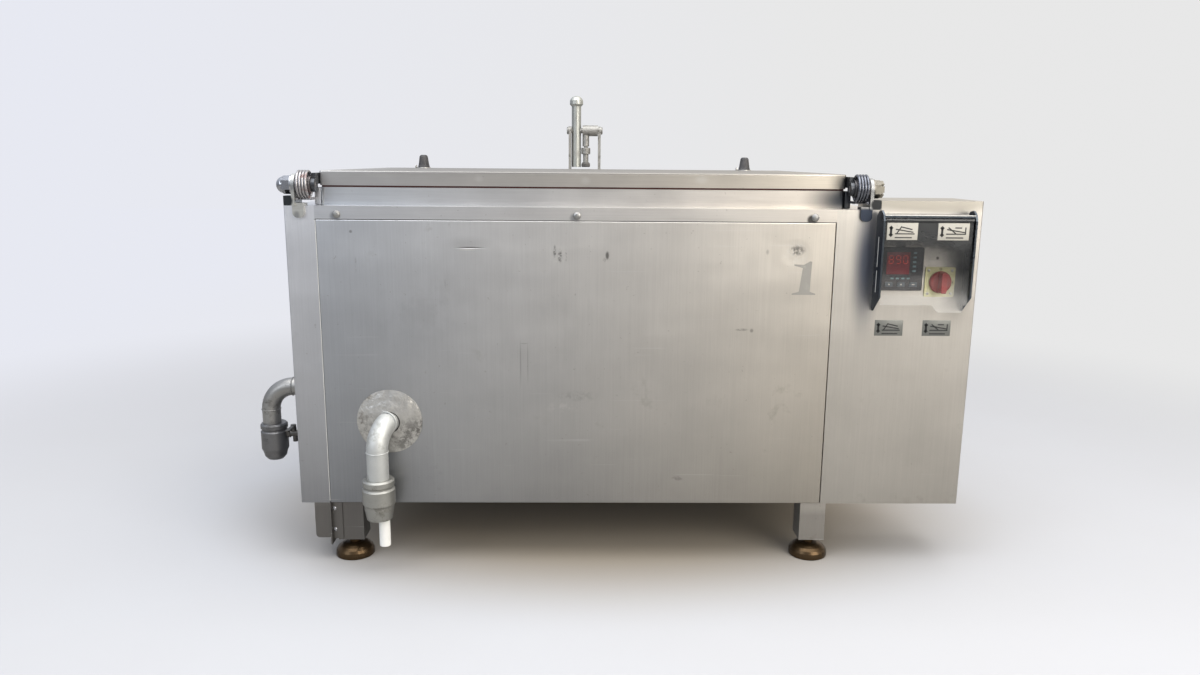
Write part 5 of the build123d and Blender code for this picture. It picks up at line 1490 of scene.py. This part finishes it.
@dataclass
class Controls:
    """The control cabinet: controller, main switch, hood, flap and plates."""

    finishes: Finishes
    controller_x: float = 1356.0
    controller_z: float = 698.0
    switch_x: float = 1445.0
    switch_z: float = 669.0
    switch_face: float = -3.0
    print_thickness: float = 0.12
    window_face: float = -8.4
    window_shift: tuple = (-9, 13)
    window_half: tuple = (25.6, 24.6)
    figure_pitch: float = 16.0
    figure_rise: float = 8.0
    figure_half: tuple = (4.6, 8.6)
    figure_stroke: float = 1.7
    figures: tuple = ("abcdefg", "abcdfg", "abcdef")
    marks_face: float = -9.0
    side_mark_rises: tuple = (34.0, 24.0, 14.0, 4.0, -6.0)
    bar_mark_shifts: tuple = (-24.0, -12.0, 0.0, 12.0)
    # painted highlights: thin bright strips on the hood's left cheek and along its roof front
    hood_edges: tuple = (
        ((1295.8, -23.0, 648.0), (1296.0, -19.5, 696.0)),
        ((1295.8, -23.0, 704.0), (1296.0, -19.5, 770.0)),
        ((1300.5, -42.4, 817.2), (1495.5, -42.0, 818.8)),
    )
    key_bodies: tuple = ("key_one", "key_two", "key_three")
    screw_outline: tuple = ((0, 1.4), (2.4, 1.0), (3.2, 0), (3.2, -0.3), (0, -0.3))
    screw_places: tuple = ((-26, 26), (26, 26), (-26, -26), (26, -26))
    nought_outline: tuple = ((2.0, 0), (3.0, 0), (3.0, 0.15), (2.0, 0.15), (2.0, 0))
    nought_rise: float = 29.0
    plate_thickness: float = 0.6
    stroke_width: float = 2.6
    ground_lines: tuple = (
        ((0.28, 0.36), (0.88, 0.36)), ((0.30, 0.62), (0.84, 0.46)), ((0.28, 0.14), (0.80, 0.14)),
    )
    flap_plates: tuple = (
        Plate("flap_plate_1", 1306.0, 765.0, 67.0, 37.0, -40.0, "splash_flap", Pictogram.HEATING),
        Plate("flap_plate_2", 1417.0, 765.0, 68.0, 37.0, -40.0, "splash_flap", Pictogram.DRAINING),
    )
    cabinet_plates: tuple = (
        Plate("cabinet_plate_3", 1307.0, 546.0, 64.0, 36.0, 0.0, "kettle", Pictogram.HEATING),
        Plate("cabinet_plate_4", 1415.0, 546.0, 64.0, 36.0, 0.0, "kettle", Pictogram.DRAINING),
    )

    def build(self) -> None:
        """Dress the cabinet and add displays, plates and pictograms."""
        dress(self.finishes.cabinet, "cabinet_panel", "cabinet_top", "cabinet_back")
        dress(self.finishes.zinc, "mounting_plate")
        dress(self.finishes.black, "switchgear", "controller_case")
        dress(self.finishes.yellow, "switch_base")
        dress(self.finishes.red, "switch_knob")
        dress(self.finishes.grey, "controller_key_1", "controller_key_2", "controller_key_3")
        dress(self.finishes.hood, "control_hood")
        dress(self.finishes.clear, "splash_flap")
        self._display()
        self._indicators()
        self._hood_edge()
        self._key_marks()
        self._switch_marks()
        self._plates()

    def _display(self) -> None:
        """The red window with a lit three figure reading."""
        x, z = self.controller_x + self.window_shift[0], self.controller_z + self.window_shift[1]
        wide, high = self.window_half
        face = self.window_face
        pane = Shape()
        pane.box(at(x - wide, face - 0.2, z - high), at(x + wide, face + 0.1, z + high), 0.1, 1)
        pane.piece("display_pane", self.finishes.window, "kettle", "black_plastic")
        segments = Shape()
        for number, lit in enumerate(self.figures, start=-1):
            self._figure(segments, x + number * self.figure_pitch, z + self.figure_rise, lit, face - 0.2)
        segments.piece("display_figures", self.finishes.segment, "kettle", "red_plastic")

    def _indicators(self) -> None:
        """Painted glints: pale teal marks beside the window and short bars over the middle key."""
        x, z, face = self.controller_x, self.controller_z, self.marks_face
        front = face - self.print_thickness
        marks = Shape()
        for rise in self.side_mark_rises:
            marks.box(at(x + 23.5, front, z + rise), at(x + 31.0, face, z + rise + 4.2))
        for along in self.bar_mark_shifts:
            marks.box(at(x + along, front, z - 22.5), at(x + along + 7.0, face, z - 19.0))
        marks.piece("teal_glint_marks", self.finishes.teal, "kettle", "grey_plastic")

    def _hood_edge(self) -> None:
        """Painted highlights: bright strips on the left cheek's outer face and along the roof's front."""
        edges = Shape()
        for low, high in self.hood_edges:
            edges.box(at(*low), at(*high))
        edges.piece("hood_edges", self.finishes.edge, "kettle", "dark_steel")

    def _figure(self, shape: Shape, x: float, z: float, lit: str, face: float) -> None:
        """Add one seven-segment figure.

        Args:
            shape: the shape to add to.
            x: the figure's middle.
            z: the figure's middle height.
            lit: the letters of its lit segments, a at the top and g across the middle.
            face: how far forward the window's face is.
        """
        half_wide, half_high = self.figure_half
        half_stroke = self.figure_stroke / 2
        bars = {
            "a": (0, half_high, True), "d": (0, -half_high, True), "g": (0, 0, True),
            "b": (half_wide, half_high / 2, False), "c": (half_wide, -half_high / 2, False),
            "f": (-half_wide, half_high / 2, False), "e": (-half_wide, -half_high / 2, False),
        }
        front = face - self.print_thickness
        for letter in lit:
            dx, dz, level = bars[letter]
            wide, high = (half_wide - 1.2, half_stroke) if level else (half_stroke, half_high / 2 - 1.1)
            low_corner = at(x + dx - wide, front, z + dz - high)
            high_corner = at(x + dx + wide, face, z + dz + high)
            shape.box(low_corner, high_corner, 0.05, 1)

    def _key_marks(self) -> None:
        """Arrow and dash marks on the three keys."""
        for number, body in enumerate(self.key_bodies, start=1):
            low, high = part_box(f"controller_key_{number}")
            middle = (low + high) / 2
            shape = Shape()
            start = Vector((middle.x, low.y - 0.00015, middle.z))
            if number < 3:
                shape.rod(start, start + Vector((0, 0.0002, 0)), 2.6, 3)
            else:
                shape.box(start - Vector((0.003, 0, 0.0008)), start + Vector((0.003, 0.0002, 0.0008)))
            if number == 2:
                turn = Matrix.Translation(start) @ Matrix.Rotation(math.pi, 4, "Y")
                turn = turn @ Matrix.Translation(-start)
                bmesh.ops.transform(shape.bm, matrix=turn, verts=shape.bm.verts[:])
            shape.piece(f"key_mark_{number}", self.finishes.label, body, "white_plastic")

    def _switch_marks(self) -> None:
        """The switch's corner screws and its 0 and 1 marks."""
        x, z, face = self.switch_x, self.switch_z, self.switch_face
        for number, (dx, dz) in enumerate(self.screw_places, start=1):
            shape = Shape()
            shape.turned(self.screw_outline, at(x + dx, face, z + dz), (0, -1, 0), 20).joined()
            shape.piece(f"switch_screw_{number}", self.finishes.bright, "kettle", "bright_steel")
        nought = Shape()
        nought.turned(self.nought_outline, at(x, face, z + self.nought_rise), (0, -1, 0), 28).joined()
        nought.piece("switch_nought", self.finishes.ink, "kettle", "yellow_plastic")
        one = Shape()
        one.box(at(x + 28.4, face - 0.15, z - 3), at(x + 29.6, face, z + 3))
        one.piece("switch_one", self.finishes.ink, "kettle", "yellow_plastic")

    def _plates(self) -> None:
        """Pictogram plates: two pale ones on the flap and two grey ones on the cabinet."""
        for plate in self.flap_plates:
            self._plate(plate, self.finishes.label)
        for plate in self.cabinet_plates:
            self._plate(plate, self.finishes.plate)

    def _plate(self, plate: Plate, finish: Finish) -> None:
        """One plate with its pictogram.

        Args:
            plate: the plate.
            finish: its finish.
        """
        top = plate.face - self.plate_thickness
        (left, low), (right, high) = plate.spot(0, 0), plate.spot(1, 1)
        shape = Shape()
        shape.box(at(left, top, low), at(right, plate.face, high), 0.25, 2)
        shape.piece(plate.name, finish, plate.body, "grey_plastic")
        marks = Shape()
        front = top - self.print_thickness
        (post, foot), (_, head) = plate.spot(0.13, 0.26), plate.spot(0.13, 0.74)
        marks.box(at(post - 2.4, front, foot), at(post + 2.4, top, head))
        for share in (0.70, 0.30):
            _, height = plate.spot(0.13, share)
            marks.rod(at(post, top, height), at(post, front, height), 5.0, 4)
        for start, end in self.ground_lines + plate.picture.value:
            self._stroke(marks, plate.spot(*start), plate.spot(*end), top)
        marks.piece(f"{plate.name}_picture", self.finishes.ink, plate.body, "black_plastic")

    def _stroke(self, shape: Shape, start: tuple, end: tuple, face: float) -> None:
        """Add a printed line.

        Args:
            shape: the shape to add to.
            start: x and z of one end.
            end: x and z of the other end.
            face: how far forward the plate's face is.
        """
        middle = face - self.print_thickness / 2
        low, high = (at(x, middle, z) for x, z in (start, end))
        way = high - low
        wide, deep = self.stroke_width / MM_PER_METRE, self.print_thickness / MM_PER_METRE
        made = bmesh.ops.create_cube(shape.bm, size=1.0)
        turn = Matrix.Rotation(-math.atan2(way.z, way.x), 4, "Y")
        size = Matrix.Diagonal((way.length + wide, deep, wide, 1.0))
        move = Matrix.Translation((low + high) / 2) @ turn @ size
        bmesh.ops.transform(shape.bm, matrix=move, verts=made["verts"])


# --------------------------------------------------------------------------- studio


@dataclass(frozen=True)
class SoftLamp:
    """A large soft lamp, with its place and its aim on the drawing and its size in metres."""

    name: str
    place: tuple
    aim: tuple
    size: tuple
    power: float
    colour: Colour

    def hang(self) -> None:
        """Make the lamp and aim it."""
        place = at(*self.place)
        lamp = bpy.data.lights.new(self.name, "AREA")
        lamp.shape = "RECTANGLE"
        lamp.size, lamp.size_y = self.size
        lamp.energy = self.power
        lamp.color = self.colour
        holder = bpy.data.objects.new(self.name, lamp)
        holder.location = place
        holder.rotation_euler = (at(*self.aim) - place).to_track_quat("-Z", "Y").to_euler()
        bpy.context.scene.collection.objects.link(holder)


@dataclass
class Studio:
    """Pale floor, soft lamps, sky and camera."""

    camera_place: tuple = (655.4, -1947.4, 929.6)
    yaw: float = 1.00
    pitch: float = 11.35
    roll: float = 0.48
    focal_pixels: float = 885.0
    picture_width: float = 1200.0
    backdrop: Colour = (0.80, 0.815, 0.885)
    backdrop_right: Colour = (0.805, 0.805, 0.805)
    lamps: tuple = (
        SoftLamp("overhead", (650, -300, 3400), (650, 300, 500), (4.2, 3.0), 128.0, (1.0, 0.99, 0.97)),
        SoftLamp("front_right", (3000, -2500, 1900), (800, 0, 600), (2.4, 2.0), 86.0, (1.0, 0.95, 0.87)),
        SoftLamp("front_left", (-2200, -2600, 2300), (600, 0, 500), (2.0, 2.2), 34.0, (0.90, 0.95, 1.0)),
    )

    def build(self) -> None:
        """Make the floor, the sky, the lamps and the camera."""
        self._floor()
        self._sky()
        for lamp in self.lamps:
            lamp.hang()
        self._camera()
        bpy.context.scene.view_settings.view_transform = "Standard"

    def _floor(self) -> None:
        """A wide pale floor that fades into the backdrop's colour, with a painted shadow under the machine.
        """
        bm = bmesh.new()
        bmesh.ops.create_grid(bm, x_segments=1, y_segments=1, size=14.0)
        mesh = bpy.data.meshes.new("studio_floor")
        bm.to_mesh(mesh)
        bm.free()
        material = bpy.data.materials.new("studio_floor")
        material.use_nodes = True
        graph = Graph(material.node_tree)
        dust = graph.noise(graph.place(), 3.0, 3.0, 0.5)
        seen = graph.camera_ray()
        shown = graph.mix(dust, (0.425, 0.435, 0.46), (0.415, 0.42, 0.44))
        # painted shadow: the floor darker and browner under the machine, as the camera sees it
        under = graph.near((0.02, 0.0, 0.0), 0.30, 0.40, (0.62, 1.0, 1.0))
        shown = graph.mix(under * 0.9, shown, (0.25, 0.21, 0.155))
        colour = graph.mix(seen, (0.30, 0.295, 0.285), shown)
        matt = graph.node("ShaderNodeBsdfPrincipled", {}, {"Base Color": colour, "Roughness": 0.9})
        far = graph.mix(graph.axis("x").between(-3.0, 2.0), self.backdrop, self.backdrop_right)
        glow = graph.node("ShaderNodeEmission", {}, {"Color": far, "Strength": 1.0})
        away = graph.near((0.0, 0.0, 0.0), 1.2, 2.2)
        share = (1.0 - away) * seen
        mixed = graph.node("ShaderNodeMixShader", {}, {0: share})
        graph.tree.links.new(matt.outputs[0], mixed.inputs[1])
        graph.tree.links.new(glow.outputs[0], mixed.inputs[2])
        output = graph.node("ShaderNodeOutputMaterial", {}, {})
        graph.tree.links.new(mixed.outputs[0], output.inputs["Surface"])
        mesh.materials.append(material)
        floor = bpy.data.objects.new("studio_floor", mesh)
        bpy.context.scene.collection.objects.link(floor)

    def _sky(self) -> None:
        """A sky that lights softly, and shows the backdrop's colour to the camera."""
        world = bpy.data.worlds.new("studio_sky")
        world.use_nodes = True
        bpy.context.scene.world = world
        graph = Graph(world.node_tree)
        made = graph.node("ShaderNodeTexCoord", {}, {})
        way = graph.node("ShaderNodeSeparateXYZ", {}, {0: Wire(graph, made.outputs["Generated"])})
        right, back, up = (Wire(graph, way.outputs[index]) for index in range(3))
        level = 0.50 + up.step(-0.1, 0.9) * 0.56 + right * 0.16 + back * 0.08
        tone = graph.grey(level)
        cool, warm = graph.times(tone, (0.90, 0.96, 1.08)), graph.times(tone, (1.06, 1.0, 0.92))
        tone = graph.mix(right.step(-0.6, 0.6), cool, warm)
        seen = graph.camera_ray()
        shown = graph.mix(right.between(-0.5, 0.25), self.backdrop, self.backdrop_right)
        colour = graph.mix(seen, tone, shown)
        glow = graph.node("ShaderNodeBackground", {}, {"Color": colour, "Strength": 1.0})
        output = graph.node("ShaderNodeOutputWorld", {}, {})
        graph.tree.links.new(glow.outputs[0], output.inputs["Surface"])

    def _camera(self) -> None:
        """The camera in front of the machine, a little above its lid."""
        yaw, pitch, roll = (math.radians(angle) for angle in (self.yaw, self.pitch, self.roll))
        level_right = Vector((math.cos(yaw), -math.sin(yaw), 0.0))
        level_ahead = Vector((math.sin(yaw), math.cos(yaw), 0.0))
        upright = Vector((0.0, 0.0, 1.0))
        ahead = level_ahead * math.cos(pitch) - upright * math.sin(pitch)
        up = upright * math.cos(pitch) + level_ahead * math.sin(pitch)
        right = level_right * math.cos(roll) + up * math.sin(roll)
        up = up * math.cos(roll) - level_right * math.sin(roll)
        data = bpy.data.cameras.new("camera")
        data.sensor_width = 36.0
        data.lens = self.focal_pixels / self.picture_width * data.sensor_width
        data.clip_start, data.clip_end = 0.05, 80.0
        camera = bpy.data.objects.new("camera", data)
        turn = Matrix((right, up, -ahead)).transposed().to_4x4()
        camera.matrix_world = Matrix.Translation(at(*self.camera_place)) @ turn
        bpy.context.scene.collection.objects.link(camera)
        bpy.context.scene.camera = camera


def main() -> None:
    """Build every sub-assembly in order."""
    logging.basicConfig(level=logging.INFO, format="%(name)s: %(message)s")
    finishes = Finishes()
    for part in (Housing, Lid, Hinges, Clamp, Pipework, Controls):
        log.info("building %s", part.__name__)
        part(finishes).build()
    Studio().build()


if __name__ == "__main__":
    main()
